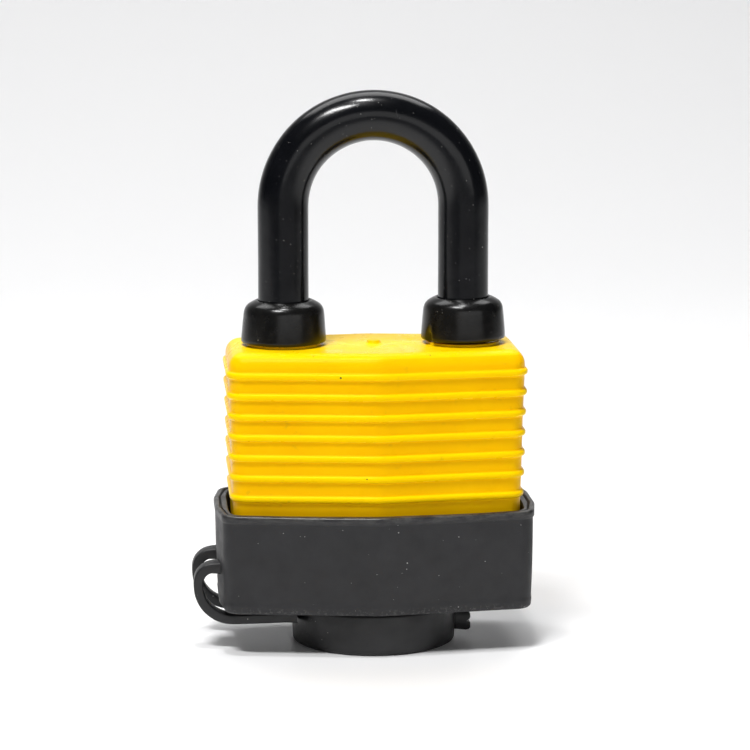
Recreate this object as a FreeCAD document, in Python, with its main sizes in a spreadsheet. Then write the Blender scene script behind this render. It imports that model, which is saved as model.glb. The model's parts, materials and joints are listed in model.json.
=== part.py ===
"""A weatherproof laminated padlock: sleeved shackle, ribbed cover, bumper skirt, keyway cap and cylinder.

Frame: +Z up, origin on the axis of the keyway cap at its underside, front towards -Y, cap straps towards -X.
The lock stands on its keyway cap.
"""

import FreeCAD, Part
import math
import os
import re
import Sketcher

# ---------------------------------------------------------------------------------------------------------
# Driving dimensions, in millimetres, degrees or plain counts. Each becomes a named cell of the sheet "sizes".

SIZES = {
    # shackle
    "leg_half_spacing": 13.6,
    "shackle_radius": 3.2,
    "arch_centre_z": 66.5,
    "toe_end_z": 35.2,
    "heel_end_z": 17.4,
    "neck_radius": 2.2,
    "neck_top_z": 34.1,
    "neck_bottom_z": 20.8,
    "lock_notch_depth": 1.4,
    "lock_notch_radius": 5.3,
    "leg_chamfer": 0.8,
    # shackle sleeve and seals
    "sleeve_radius": 3.83,
    "sleeve_bore_gap": 0.02,
    "sleeve_end_z": 44.4,
    "seal_radius": 6.25,
    "seal_shoulder_radius": 6.0,
    "seal_shoulder_drop": 1.6,
    "seal_mouth_radius": 4.3,
    "seal_height": 6.6,
    "heel_seal_z": 46.05,
    "toe_seal_z": 46.25,
    "seal_bore_gap": 0.03,
    # laminated body
    "body_bottom_z": 8.0,
    "plate_thickness": 2.0,
    "body_half_width": 19.7,
    "body_crest": 10.5,
    "body_edge": 7.9,
    "body_corner": 1.6,
    "leg_hole_radius": 3.28,
    "rivet_radius": 1.4,
    "rivet_hole_gap": 0.02,
    "rivet_x": 17.0,
    "rivet_y": 4.8,
    # top cover
    "cover_top_z": 45.6,
    "cover_bottom_z": 10.0,
    "cover_height": 35.6,
    "cover_half_width": 22.2,
    "cover_crest": 12.5,
    "cover_edge": 9.4,
    "cover_draft": 0.023,
    "cover_corner": 2.4,
    "crest_round": 6.0,
    "cover_top_round": 2.2,
    "cover_ceiling_z": 44.15,
    "cavity_half_width": 20.0,
    "cavity_crest": 10.8,
    "cavity_edge": 8.15,
    "cavity_corner": 1.5,
    "cover_leg_hole_radius": 4.1,
    "boss_radius": 5.6,
    "boss_height": 0.4,
    "rib_first_drop": 3.3,
    "rib_pitch": 3.09,
    "rib_half_height": 0.45,
    "rib_proud": 0.46,
    # bumper skirt
    "skirt_bottom_z": 6.5,
    "skirt_top_z": 21.6,
    "rim_half_width": 24.1,
    "rim_crest": 14.6,
    "rim_shoulder_x": 23.1,
    "rim_shoulder_y": 11.1,
    "rim_side_half": 4.0,
    "base_half_width": 23.75,
    "base_crest": 14.3,
    "base_shoulder_x": 22.9,
    "base_shoulder_y": 11.05,
    "base_side_half": 3.8,
    "skirt_corner": 2.6,
    "skirt_side_corner": 7.0,
    "pocket_half_width": 22.3,
    "pocket_crest": 12.7,
    "pocket_shoulder_x": 21.9,
    "pocket_shoulder_y": 9.9,
    "pocket_side_half": 4.6,
    "rim_band_height": 1.0,
    "rim_band_proud": 0.18,
    "rim_groove_inset": 0.6,
    "rim_groove_width": 0.3,
    "rim_groove_depth": 0.45,
    "skirt_bottom_round": 0.7,
    "collar_radius": 10.65,
    "collar_bore": 9.0,
    "collar_bottom_z": 3.4,
    "anchor_seat_x": 23.0,
    "anchor_seat_gap": 0.05,
    # keyway cap, its straps and anchor
    "cap_radius": 12.45,
    "cap_bore": 11.2,
    "cap_height": 6.2,
    "cap_floor": 1.3,
    "cap_edge_chamfer": 0.35,
    "tab_length": 2.4,
    "tab_half_width": 1.5,
    "tab_bottom_z": 0.8,
    "tab_top_z": 3.7,
    "tab_notch_z": 2.4,
    "tab_notch_half": 0.25,
    "tab_notch_depth": 0.7,
    "anchor_thickness": 1.3,
    "anchor_half_length": 7.2,
    "anchor_bottom_z": 11.2,
    "anchor_top_z": 14.8,
    "strap_y": 5.0,
    "strap_half_width": 1.5,
    "strap_half_thickness": 0.8,
    "strap_root_z": 12.6,
    "strap_root_run": 0.3,
    "strap_upper_radius": 2.3,
    "strap_drop": 0.5,
    "strap_lower_radius": 5.2,
    "strap_cap_gap": 0.01,
    # lock cylinder
    "housing_radius": 6.6,
    "housing_bottom_z": 10.0,
    "housing_top_z": 30.0,
    "housing_gap": 0.04,
    "chimney_half_width": 2.6,
    "chimney_top_y": 8.7,
    "plug_radius": 4.5,
    "plug_bore_gap": 0.05,
    "plug_bottom_z": 8.4,
    "plug_top_z": 31.4,
    "plug_face_hole": 4.9,
    "keyway_half_width": 0.8,
    "keyway_low_y": 3.7,
    "keyway_high_y": 1.6,
    "keyway_end_z": 28.2,
    "pin_radius": 1.15,
    "chamber_radius": 1.22,
    "first_pin_z": 12.2,
    "pin_pitch": 3.3,
    "key_pin_top_y": 4.3,
    "key_pin_base_length": 2.2,
    "key_pin_step": 0.4,
    "key_pin_tip": 0.6,
    "driver_pin_y": 4.62,
    "driver_pin_length": 1.9,
    "pin_spring_y": 6.7,
    "pin_spring_length": 1.4,
    "pin_spring_radius": 0.85,
    "pin_spring_wire": 0.13,
    "pin_spring_pitch": 0.5,
    "strip_half_width": 1.6,
    "strip_low_y": 8.3,
    "strip_end_margin": 0.6,
    "pin_hole_low_y": 0.3,
    "clip_bottom_z": 30.05,
    "clip_opening_half": 1.2,
    "clip_thickness": 0.6,
    "clip_gap": 0.05,
    "clip_radius": 5.5,
    "clip_groove_radius": 3.8,
    # drive cam, dogs and springs
    "cam_bottom_z": 31.4,
    "cam_shaft_radius": 3.2,
    "cam_disc_z": 36.0,
    "cam_disc_top_z": 37.9,
    "cam_disc_radius": 4.8,
    "cam_hole_radius": 5.1,
    "clip_hole_radius": 5.8,
    "drive_pin_radius": 0.8,
    "drive_pin_offset": 2.404,
    "drive_pin_top_z": 41.6,
    "cam_tongue_half_width": 0.7,
    "cam_tongue_half_length": 2.6,
    "cam_tongue_depth": 1.6,
    "cam_tongue_gap": 0.02,
    "dog_centre_z": 40.0,
    "dog_half_height": 1.9,
    "dog_nose_x": 11.6,
    "dog_head_length": 2.2,
    "dog_shoulder_x": 9.6,
    "dog_nose_round": 1.85,
    "dog_head_half_width": 2.6,
    "dog_tail_low_y": 1.1,
    "dog_tail_high_y": 5.0,
    "dog_tail_end_x": 0.6,
    "dog_slot_half_width": 0.95,
    "dog_slot_low_y": 1.5,
    "dog_slot_high_y": 4.35,
    "channel_half_length": 9.8,
    "channel_half_width": 5.1,
    "channel_mouth_x": 12.0,
    "channel_mouth_half": 2.7,
    "dog_spring_radius": 0.72,
    "dog_spring_wire": 0.16,
    "dog_spring_pitch": 1.55,
    "dog_spring_half_length": 9.15,
    "retainer_inset": 0.05,
    "retainer_slot": 2.3,
    "retainer_left_x": 16.7,
    "retainer_right_x": 9.6,
    "retainer_half_width": 3.1,
    "shackle_spring_radius": 2.35,
    "shackle_spring_wire": 0.35,
    "shackle_spring_pitch": 1.3,
    "shackle_spring_length": 6.5,
    "shackle_spring_start_z": 10.4,
}

RIB_COUNT = 7
PIN_COUNT = 5
PLATE_COUNT = 18
KEY_PIN_STEPS = (2, 0, 3, 1, 4)
ALL_CORNERS = ((1, 1), (-1, 1), (-1, -1), (1, -1))
# A quarter round in three flats: (drop, inset) of each step, as shares of its radius.
ROUND_STEPS = ((1, 0), (0.5, 0.134), (0.134, 0.5), (0, 1))
# Lengths and volumes closer than these, in millimetres and cubic millimetres, count as the same.
SAME_PLACE = 1e-4
SAME_VOLUME = 1e-6
Y_AXIS = FreeCAD.Vector(0, 1, 0)
Z_AXIS = FreeCAD.Vector(0, 0, 1)

doc = FreeCAD.newDocument("padlock")
nodes = []


# ---------------------------------------------------------------------------------------------------------
# Formulas: a formula is terms joined by + or -, each a product of numbers and names from SIZES.


def make_sheet():
    sheet = doc.addObject("Spreadsheet::Sheet", "sizes")
    for row, (name, number) in enumerate(SIZES.items(), start=1):
        sheet.set(f"A{row}", name)
        sheet.set(f"B{row}", str(number))
        sheet.setAlias(f"B{row}", name)
    doc.recompute()


def value(formula):
    """The number that a formula stands for."""
    total = 0.0
    sign = 1.0
    for term in re.findall(r"[+-]|[^+-]+", formula.replace(" ", "")):
        if term in "+-":
            sign = -sign if term == "-" else sign
            continue
        product = 1.0
        for factor in term.split("*"):
            product *= SIZES[factor] if factor in SIZES else float(factor)
        total += sign * product
        sign = 1.0
    return total


def bound(formula):
    """The same formula as an expression on the sheet's cells."""
    return re.sub(r"[a-z][a-z_]*", lambda name: "sizes." + name.group(), formula)


def minus(formula):
    """The formula with its sign changed."""
    single_signs = re.sub(r"-\s*-", "+", re.sub(r"\+\s*-", "-", formula))
    swapped = re.sub(r"[+-]", lambda sign: "-" if sign.group() == "+" else "+", single_signs)
    return swapped[1:].strip() if single_signs.startswith("-") else "-" + swapped


def bind(thing, **formulas):
    """Bind properties to formulas; a double underscore stands for a dot."""
    for name, formula in formulas.items():
        thing.setExpression(name.replace("__", "."), bound(formula))


# ---------------------------------------------------------------------------------------------------------
# Sketches


def new_body(label):
    body = doc.addObject("PartDesign::Body", label)
    body.Label = label
    nodes.append(body)
    return body


def new_sketch(body, plane="XY_Plane", offset="0"):
    """A sketch on one of the body's own origin planes, shifted along the plane's normal."""
    sketch = body.newObject("Sketcher::SketchObject", body.Name + "_sketch")
    support = next(part for part in body.Origin.OriginFeatures if part.Role == plane)
    sketch.AttachmentSupport = (support, [""])
    sketch.MapMode = "FlatFace"
    bind(sketch, AttachmentOffset__Base__z=offset)
    return sketch


def fix_point(sketch, geometry, position, x, y):
    """Hold one point at the formulas (x, y) from the sketch's origin."""
    for kind, formula, axis in (("DistanceX", x, -2), ("DistanceY", y, -1)):
        number = value(formula)
        if abs(number) < SAME_PLACE:
            sketch.addConstraint(Sketcher.Constraint("PointOnObject", geometry, position, axis))
            continue
        index = sketch.addConstraint(Sketcher.Constraint(kind, -1, 1, geometry, position, number))
        sketch.setExpression(f"Constraints[{index}]", bound(formula))


def rounding(before, corner, after, radius):
    """Where an arc of this radius leaves the two sides of a corner, and its middle point."""
    back = (before - corner).normalize()
    ahead = (after - corner).normalize()
    half = back.getAngle(ahead) / 2
    centre = corner + (back + ahead).normalize() * (radius / math.sin(half))
    middle = centre + (corner - centre).normalize() * radius
    setback = radius / math.tan(half)
    return corner + back * setback, middle, corner + ahead * setback


def draw_outline(sketch, corners):
    """A closed outline through corners (x, y) or, where the corner is rounded, (x, y, radius)."""
    count = len(corners)
    points = [FreeCAD.Vector(value(corner[0]), value(corner[1]), 0) for corner in corners]
    enters = list(points)
    leaves = list(points)
    arcs = {}
    for i, corner in enumerate(corners):
        if len(corner) == 3:
            entering, middle, leaving = rounding(
                points[i - 1], points[i], points[(i + 1) % count], value(corner[2])
            )
            enters[i] = entering
            leaves[i] = leaving
            arcs[i] = sketch.addGeometry(Part.Arc(entering, middle, leaving), False)
    lines = [
        sketch.addGeometry(Part.LineSegment(leaves[i], enters[(i + 1) % count]), False)
        for i in range(count)
    ]
    for i, corner in enumerate(corners):
        if i not in arcs:
            sketch.addConstraint(Sketcher.Constraint("Coincident", lines[i - 1], 2, lines[i], 1))
            fix_point(sketch, lines[i], 1, corner[0], corner[1])
            continue
        sharp = sketch.addGeometry(Part.Point(points[i]), True)
        fix_point(sketch, sharp, 1, corner[0], corner[1])
        sketch.addConstraint(Sketcher.Constraint("PointOnObject", sharp, 1, lines[i - 1]))
        sketch.addConstraint(Sketcher.Constraint("PointOnObject", sharp, 1, lines[i]))
        starts_here = (sketch.getPoint(arcs[i], 1) - enters[i]).Length < SAME_PLACE
        first, last = (1, 2) if starts_here else (2, 1)
        sketch.addConstraint(Sketcher.Constraint("Tangent", lines[i - 1], 2, arcs[i], first))
        sketch.addConstraint(Sketcher.Constraint("Tangent", arcs[i], last, lines[i], 1))
        index = sketch.addConstraint(Sketcher.Constraint("Radius", arcs[i], value(corner[2])))
        sketch.setExpression(f"Constraints[{index}]", bound(corner[2]))


def draw_circle(sketch, x, y, radius):
    centre = FreeCAD.Vector(value(x), value(y), 0)
    circle = sketch.addGeometry(Part.Circle(centre, Z_AXIS, value(radius)), False)
    fix_point(sketch, circle, 3, x, y)
    index = sketch.addConstraint(Sketcher.Constraint("Radius", circle, value(radius)))
    sketch.setExpression(f"Constraints[{index}]", bound(radius))


def draw_box(sketch, low_x, high_x, low_y, high_y):
    draw_outline(sketch, [(low_x, low_y), (high_x, low_y), (high_x, high_y), (low_x, high_y)])


def crested(half_width, crest, edge, corner):
    """A plan with a shallow crest front and back and two flat sides."""
    return [
        ("0", minus(crest), "crest_round"),
        (half_width, minus(edge), corner),
        (half_width, edge, corner),
        ("0", crest, "crest_round"),
        (minus(half_width), edge, corner),
        (minus(half_width), minus(edge), corner),
    ]


def crested_with_cut_corners(half_width, crest, shoulder_x, shoulder_y, side_half, corner, side_corner):
    """The crested plan with its four corners drawn in towards the sides."""
    right = [
        ("0", minus(crest), "crest_round"),
        (shoulder_x, minus(shoulder_y), corner),
        (half_width, minus(side_half), side_corner),
        (half_width, side_half, side_corner),
        (shoulder_x, shoulder_y, corner),
    ]
    left = [(minus(x), minus(y), radius) for x, y, radius in right]
    return right + left


# ---------------------------------------------------------------------------------------------------------
# Features


def feature(body, kind, sketch, **formulas):
    """Add a feature on a sketch, recompute, and make sure that it changed the body's volume."""
    before = body.Shape.Volume if body.Tip else 0.0
    thing = body.newObject("PartDesign::" + kind, body.Name + "_" + kind)
    thing.Profile = sketch
    sketch.Visibility = False
    bind(thing, **formulas)
    body.Tip = thing
    doc.recompute()
    if abs(body.Shape.Volume - before) < SAME_VOLUME:
        raise RuntimeError(f"{thing.Name} changed nothing")


def pad(body, draw, bottom, height, plane="XY_Plane"):
    sketch = new_sketch(body, plane, bottom)
    draw(sketch)
    feature(body, "Pad", sketch, Length=height)


def cut(body, draw, top, depth, plane="XY_Plane"):
    """Cut from the plane at top down to depth below it, against the plane's normal."""
    sketch = new_sketch(body, plane, top)
    draw(sketch)
    feature(body, "Pocket", sketch, Length=depth)


def loft(body, levels):
    """A straight-sided loft through (height, outline) levels."""
    sketches = []
    for height, corners in levels:
        sketch = new_sketch(body, "XY_Plane", height)
        draw_outline(sketch, corners)
        sketches.append(sketch)
    doc.recompute()
    before = body.Shape.Volume if body.Tip else 0.0
    thing = body.newObject("PartDesign::AdditiveLoft", body.Name + "_loft")
    thing.Profile = sketches[0]
    thing.Sections = sketches[1:]
    thing.Ruled = True
    body.Tip = thing
    doc.recompute()
    if body.Shape.Volume <= before:
        raise RuntimeError(f"{thing.Name} added nothing")


def revolve(body, corners):
    """Turn a profile of (radius, height) corners about the Z axis."""
    sketch = new_sketch(body, "XZ_Plane")
    draw_outline(sketch, corners)
    thing = body.newObject("PartDesign::Revolution", body.Name + "_revolution")
    thing.Profile = sketch
    thing.ReferenceAxis = (sketch, ["V_Axis"])
    thing.Angle = 360
    body.Tip = thing
    doc.recompute()


def dress(body, kind, base, edges, **formulas):
    """A fillet or chamfer on named edges of the feature before it."""
    thing = body.newObject("PartDesign::" + kind, body.Name + "_" + kind)
    thing.Base = (base, edges)
    bind(thing, **formulas)
    body.Tip = thing
    doc.recompute()


def edges_where(shape, test):
    """Names of the edges of which every vertex passes the test."""
    return [
        f"Edge{number}"
        for number, edge in enumerate(shape.Edges, start=1)
        if all(test(vertex.Point) for vertex in edge.Vertexes)
    ]


def group(label, members):
    """Several loose solids of one kind in one node."""
    compound = doc.addObject("Part::Compound", label)
    compound.Label = label
    compound.Links = members
    nodes.append(compound)


def rod(name, radius, length, x="0", y="0", z="0", axis=Z_AXIS):
    """A Part cylinder that starts at (x, y, z) and runs along an axis."""
    cylinder = doc.addObject("Part::Cylinder", name)
    cylinder.Placement.Rotation = FreeCAD.Rotation(Z_AXIS, axis)
    bind(
        cylinder,
        Radius=radius,
        Height=length,
        Placement__Base__x=x,
        Placement__Base__y=y,
        Placement__Base__z=z,
    )
    return cylinder


def coil(body, plane, offset, start, wire, axis_name, pitch, length):
    """A helical wire spring about an axis of its sketch, from a wire section centred at start."""
    sketch = new_sketch(body, plane, offset)
    draw_circle(sketch, start[0], start[1], wire)
    thing = body.newObject("PartDesign::AdditiveHelix", body.Name + "_helix")
    thing.Profile = sketch
    thing.ReferenceAxis = (sketch, [axis_name])
    thing.Mode = 0
    bind(thing, Pitch=pitch, Height=length)
    body.Tip = thing
    doc.recompute()


# ---------------------------------------------------------------------------------------------------------
# Shackle, sleeve and seals


def shackle_path(sketch, heel_end, toe_end):
    """Up the heel leg, over the arch and down the toe leg, in the plane of the shackle."""
    half = value("leg_half_spacing")
    top = value("arch_centre_z")
    heel = Part.LineSegment(FreeCAD.Vector(-half, value(heel_end), 0), FreeCAD.Vector(-half, top, 0))
    toe = Part.LineSegment(FreeCAD.Vector(half, top, 0), FreeCAD.Vector(half, value(toe_end), 0))
    arch = Part.Arc(
        FreeCAD.Vector(-half, top, 0), FreeCAD.Vector(0, top + half, 0), FreeCAD.Vector(half, top, 0)
    )
    heel_id, toe_id, arch_id = sketch.addGeometry([heel, toe, arch], False)
    starts_left = sketch.getPoint(arch_id, 1).x < 0
    left, right = (1, 2) if starts_left else (2, 1)
    sketch.addConstraint(Sketcher.Constraint("Tangent", heel_id, 2, arch_id, left))
    sketch.addConstraint(Sketcher.Constraint("Tangent", arch_id, right, toe_id, 1))
    fix_point(sketch, heel_id, 1, "-leg_half_spacing", heel_end)
    fix_point(sketch, arch_id, 3, "0", "arch_centre_z")
    fix_point(sketch, toe_id, 2, "leg_half_spacing", toe_end)


def swept_shackle(body, heel_end, toe_end, radii):
    path = new_sketch(body, "XZ_Plane")
    shackle_path(path, heel_end, toe_end)
    profile = new_sketch(body, "XY_Plane", heel_end)
    for radius in radii:
        draw_circle(profile, "-leg_half_spacing", "0", radius)
    doc.recompute()
    pipe = body.newObject("PartDesign::AdditivePipe", body.Name + "_pipe")
    pipe.Profile = profile
    pipe.Spine = path
    body.Tip = pipe
    doc.recompute()


def build_shackle():
    body = new_body("shackle")
    swept_shackle(body, "heel_end_z", "toe_end_z", ["shackle_radius"])

    def neck(sketch):
        draw_circle(sketch, "-leg_half_spacing", "0", "1.5 * shackle_radius")
        draw_circle(sketch, "-leg_half_spacing", "0", "neck_radius")

    def notches(sketch):
        reach = "leg_half_spacing - shackle_radius + lock_notch_depth - lock_notch_radius"
        for side in (reach, minus(reach)):
            draw_circle(sketch, side, "dog_centre_z", "lock_notch_radius")

    cut(body, neck, "neck_top_z", "neck_top_z - neck_bottom_z")
    cut(body, notches, "2 * shackle_radius", "4 * shackle_radius", "XZ_Plane")
    low_ends = (value("heel_end_z"), value("toe_end_z"))
    ends = edges_where(body.Shape, lambda p: min(abs(p.z - end) for end in low_ends) < SAME_PLACE)
    dress(body, "Chamfer", body.Tip, ends, Size="leg_chamfer")


def build_sleeve():
    body = new_body("shackle_sleeve")
    bore = "shackle_radius + sleeve_bore_gap"
    swept_shackle(body, "sleeve_end_z", "sleeve_end_z", ["sleeve_radius", bore])


def build_seal(label, side, bottom):
    """A rubber boot that grips the sleeve and rests on the cover."""
    body = new_body(label)
    bore = "sleeve_radius + seal_bore_gap"
    top = bottom + " + seal_height"
    revolve(
        body,
        [
            (bore, bottom),
            ("seal_radius", bottom),
            ("seal_shoulder_radius", top + " - seal_shoulder_drop", "seal_shoulder_drop"),
            ("seal_mouth_radius", top),
            (bore, top),
        ],
    )
    bind(body, Placement__Base__x=side)


# ---------------------------------------------------------------------------------------------------------
# Top cover


def cover_plan(drops, proud):
    """The cover's plan at a depth below its top (the sum of drops), standing proud by an amount."""
    change = "".join(f" - cover_draft * {drop}" for drop in drops) + " + " + proud
    return crested(
        "cover_half_width" + change,
        "cover_crest" + change,
        "cover_edge" + change,
        "cover_corner + " + proud,
    )


def build_top_cover():
    body = new_body("top_cover")
    levels = [("cover_bottom_z", cover_plan(["cover_height"], "0"))]
    for drop, inset in ROUND_STEPS:
        height = f"cover_top_z - {drop} * cover_top_round"
        levels.append((height, cover_plan([f"{drop} * cover_top_round"], f"-{inset} * cover_top_round")))
    loft(body, levels)
    for number in range(RIB_COUNT):
        drops = ["rib_first_drop", f"{number} * rib_pitch"]

        def rib(sketch):
            draw_outline(sketch, cover_plan(drops, "rib_proud"))

        pad(body, rib, "cover_top_z - rib_half_height - " + " - ".join(drops), "2 * rib_half_height")

    def cavity(sketch):
        draw_outline(sketch, crested("cavity_half_width", "cavity_crest", "cavity_edge", "cavity_corner"))

    def bosses(sketch):
        for side in ("leg_half_spacing", "-leg_half_spacing"):
            draw_circle(sketch, side, "0", "boss_radius")

    def leg_holes(sketch):
        for side in ("leg_half_spacing", "-leg_half_spacing"):
            draw_circle(sketch, side, "0", "cover_leg_hole_radius")

    pad(body, bosses, "cover_top_z - boss_height", "2 * boss_height")
    cut(body, cavity, "cover_ceiling_z", "cover_height")
    cut(body, leg_holes, "cover_top_z + boss_height", "cover_height")


# ---------------------------------------------------------------------------------------------------------
# Bumper skirt


def skirt_plan(level, inset="0"):
    """The skirt's plan at one level (rim, base or pocket), drawn in by an inset."""
    grow = " + " + minus(inset)
    return crested_with_cut_corners(
        level + "_half_width" + grow,
        level + "_crest" + grow,
        level + "_shoulder_x" + grow,
        level + "_shoulder_y" + grow,
        level + "_side_half",
        "skirt_corner" + grow,
        "skirt_side_corner",
    )


def build_skirt():
    body = new_body("skirt")
    levels = [("skirt_top_z", skirt_plan("rim"))]
    for drop, inset in ROUND_STEPS:
        height = f"skirt_bottom_z + {drop} * skirt_bottom_round"
        levels.append((height, skirt_plan("base", f"{inset} * skirt_bottom_round")))
    loft(body, levels)

    def band(sketch):
        draw_outline(sketch, skirt_plan("rim", "-rim_band_proud"))

    def pocket(sketch):
        draw_outline(sketch, skirt_plan("pocket"))

    def groove(sketch):
        draw_outline(sketch, skirt_plan("rim", "rim_groove_inset"))
        draw_outline(sketch, skirt_plan("rim", "rim_groove_inset + rim_groove_width"))

    def collar(sketch):
        draw_circle(sketch, "0", "0", "collar_radius")

    def key_opening(sketch):
        draw_circle(sketch, "0", "0", "collar_bore")

    def anchor_seat(sketch):
        reach = "anchor_half_length + anchor_seat_gap"
        draw_box(sketch, "-1.2 * rim_half_width", "-anchor_seat_x", minus(reach), reach)

    pad(body, band, "skirt_top_z - rim_band_height", "rim_band_height")
    cut(body, groove, "skirt_top_z", "rim_groove_depth")
    pad(body, collar, "collar_bottom_z", "body_bottom_z - collar_bottom_z")
    cut(body, pocket, "skirt_top_z", "skirt_top_z - body_bottom_z")
    cut(body, key_opening, "skirt_top_z", "skirt_top_z")
    seat_top = "anchor_top_z + anchor_seat_gap"
    cut(body, anchor_seat, seat_top, "anchor_top_z - anchor_bottom_z + 2 * anchor_seat_gap")


# ---------------------------------------------------------------------------------------------------------
# Keyway cap, its anchor and its two straps: one rubber moulding, in four nodes because it bends


def build_keyway_cap():
    body = new_body("keyway_cap")
    revolve(
        body,
        [
            ("0", "0"),
            ("cap_radius - cap_edge_chamfer", "0"),
            ("cap_radius", "cap_edge_chamfer"),
            ("cap_radius", "cap_height"),
            ("cap_bore", "cap_height"),
            ("cap_bore", "cap_floor"),
            ("0", "cap_floor"),
        ],
    )
    tab_end = "cap_radius + tab_length"

    def tab(sketch):
        draw_box(sketch, "0.95 * cap_radius", tab_end, "-tab_half_width", "tab_half_width")

    def tab_notch(sketch):
        low = "tab_notch_z - tab_notch_half"
        high = "tab_notch_z + tab_notch_half"
        draw_box(sketch, tab_end + " - tab_notch_depth", tab_end + " + tab_notch_depth", low, high)

    pad(body, tab, "tab_bottom_z", "tab_top_z - tab_bottom_z")
    cut(body, tab_notch, "2 * tab_half_width", "4 * tab_half_width", "XZ_Plane")


def build_cap_anchor():
    body = new_body("cap_anchor")

    def plate(sketch):
        outer = "-anchor_seat_x - anchor_thickness"
        draw_box(sketch, outer, "-anchor_seat_x", "-anchor_half_length", "anchor_half_length")

    pad(body, plate, "anchor_bottom_z", "anchor_top_z - anchor_bottom_z")


def strap_path(sketch):
    """Out from the anchor, down and back under the skirt to the cap."""
    root_x = -value("anchor_seat_x + anchor_thickness")
    root_z = value("strap_root_z")
    upper = value("strap_upper_radius")
    lower = value("strap_lower_radius")
    turn_x = root_x - value("strap_root_run")
    outer_x = turn_x - upper
    drop_z = root_z - upper - value("strap_drop")
    floor_z = drop_z - lower
    point = FreeCAD.Vector
    upper_middle = point(turn_x - upper * math.sqrt(0.5), root_z - upper + upper * math.sqrt(0.5), 0)
    lower_middle = point(outer_x + lower - lower * math.sqrt(0.5), drop_z - lower * math.sqrt(0.5), 0)
    run, bend, drop, sweep, reach = sketch.addGeometry(
        [
            Part.LineSegment(point(root_x, root_z, 0), point(turn_x, root_z, 0)),
            Part.Arc(point(turn_x, root_z, 0), upper_middle, point(outer_x, root_z - upper, 0)),
            Part.LineSegment(point(outer_x, root_z - upper, 0), point(outer_x, drop_z, 0)),
            Part.Arc(point(outer_x, drop_z, 0), lower_middle, point(outer_x + lower, floor_z, 0)),
            Part.LineSegment(point(outer_x + lower, floor_z, 0), point(-value("cap_bore"), floor_z, 0)),
        ],
        False,
    )
    joints = ((run, 2, bend, 1), (bend, 2, drop, 1), (drop, 2, sweep, 1), (sweep, 2, reach, 1))
    for first, first_end, second, second_end in joints:
        sketch.addConstraint(Sketcher.Constraint("Tangent", first, first_end, second, second_end))
    fix_point(sketch, run, 1, "-anchor_seat_x - anchor_thickness", "strap_root_z")
    sketch.addConstraint(Sketcher.Constraint("Horizontal", run))
    sketch.addConstraint(Sketcher.Constraint("Horizontal", reach))
    sizes = (
        ("Distance", run, "strap_root_run"),
        ("Radius", bend, "strap_upper_radius"),
        ("Distance", drop, "strap_drop"),
        ("Radius", sweep, "strap_lower_radius"),
    )
    for kind, geometry, formula in sizes:
        index = sketch.addConstraint(Sketcher.Constraint(kind, geometry, value(formula)))
        sketch.setExpression(f"Constraints[{index}]", bound(formula))
    index = sketch.addConstraint(Sketcher.Constraint("DistanceX", -1, 1, reach, 2, -value("cap_bore")))
    sketch.setExpression(f"Constraints[{index}]", bound("-cap_bore"))


def build_strap(label, middle_y):
    body = new_body(label)
    path = new_sketch(body, "XZ_Plane", minus(middle_y))
    strap_path(path)
    profile = new_sketch(body, "YZ_Plane", "-anchor_seat_x - anchor_thickness")
    draw_box(
        profile,
        middle_y + " - strap_half_width",
        middle_y + " + strap_half_width",
        "strap_root_z - strap_half_thickness",
        "strap_root_z + strap_half_thickness",
    )
    doc.recompute()
    pipe = body.newObject("PartDesign::AdditivePipe", body.Name + "_pipe")
    pipe.Profile = profile
    pipe.Spine = path
    body.Tip = pipe
    doc.recompute()

    def cap_wall(sketch):
        draw_circle(sketch, "0", "0", "cap_radius + strap_cap_gap")

    cut(body, cap_wall, "strap_root_z", "strap_root_z")


# ---------------------------------------------------------------------------------------------------------
# Laminated body: eighteen plates, four rivets and the clip that keeps the heel leg in

HOUSING_PLATES = range(1, 11)
CLIP_PLATE = 11
CAM_PLATES = range(12, 15)
RETAINER_PLATE = 12
FIRST_TOE_PLATE = 13
CHANNEL_PLATES = range(15, 17)


def plate_label(number):
    if number == 0:
        return "bottom_plate"
    if number == PLATE_COUNT - 1:
        return "top_plate"
    return f"lamination_{number:02d}"


def centre_hole(number):
    """The radius of a plate's round hole on the lock's axis, if it has one."""
    if number == 0:
        return "plug_face_hole"
    if number in HOUSING_PLATES:
        return "housing_radius + housing_gap"
    if number == CLIP_PLATE:
        return "clip_hole_radius"
    return "cam_hole_radius" if number in CAM_PLATES else None


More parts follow.
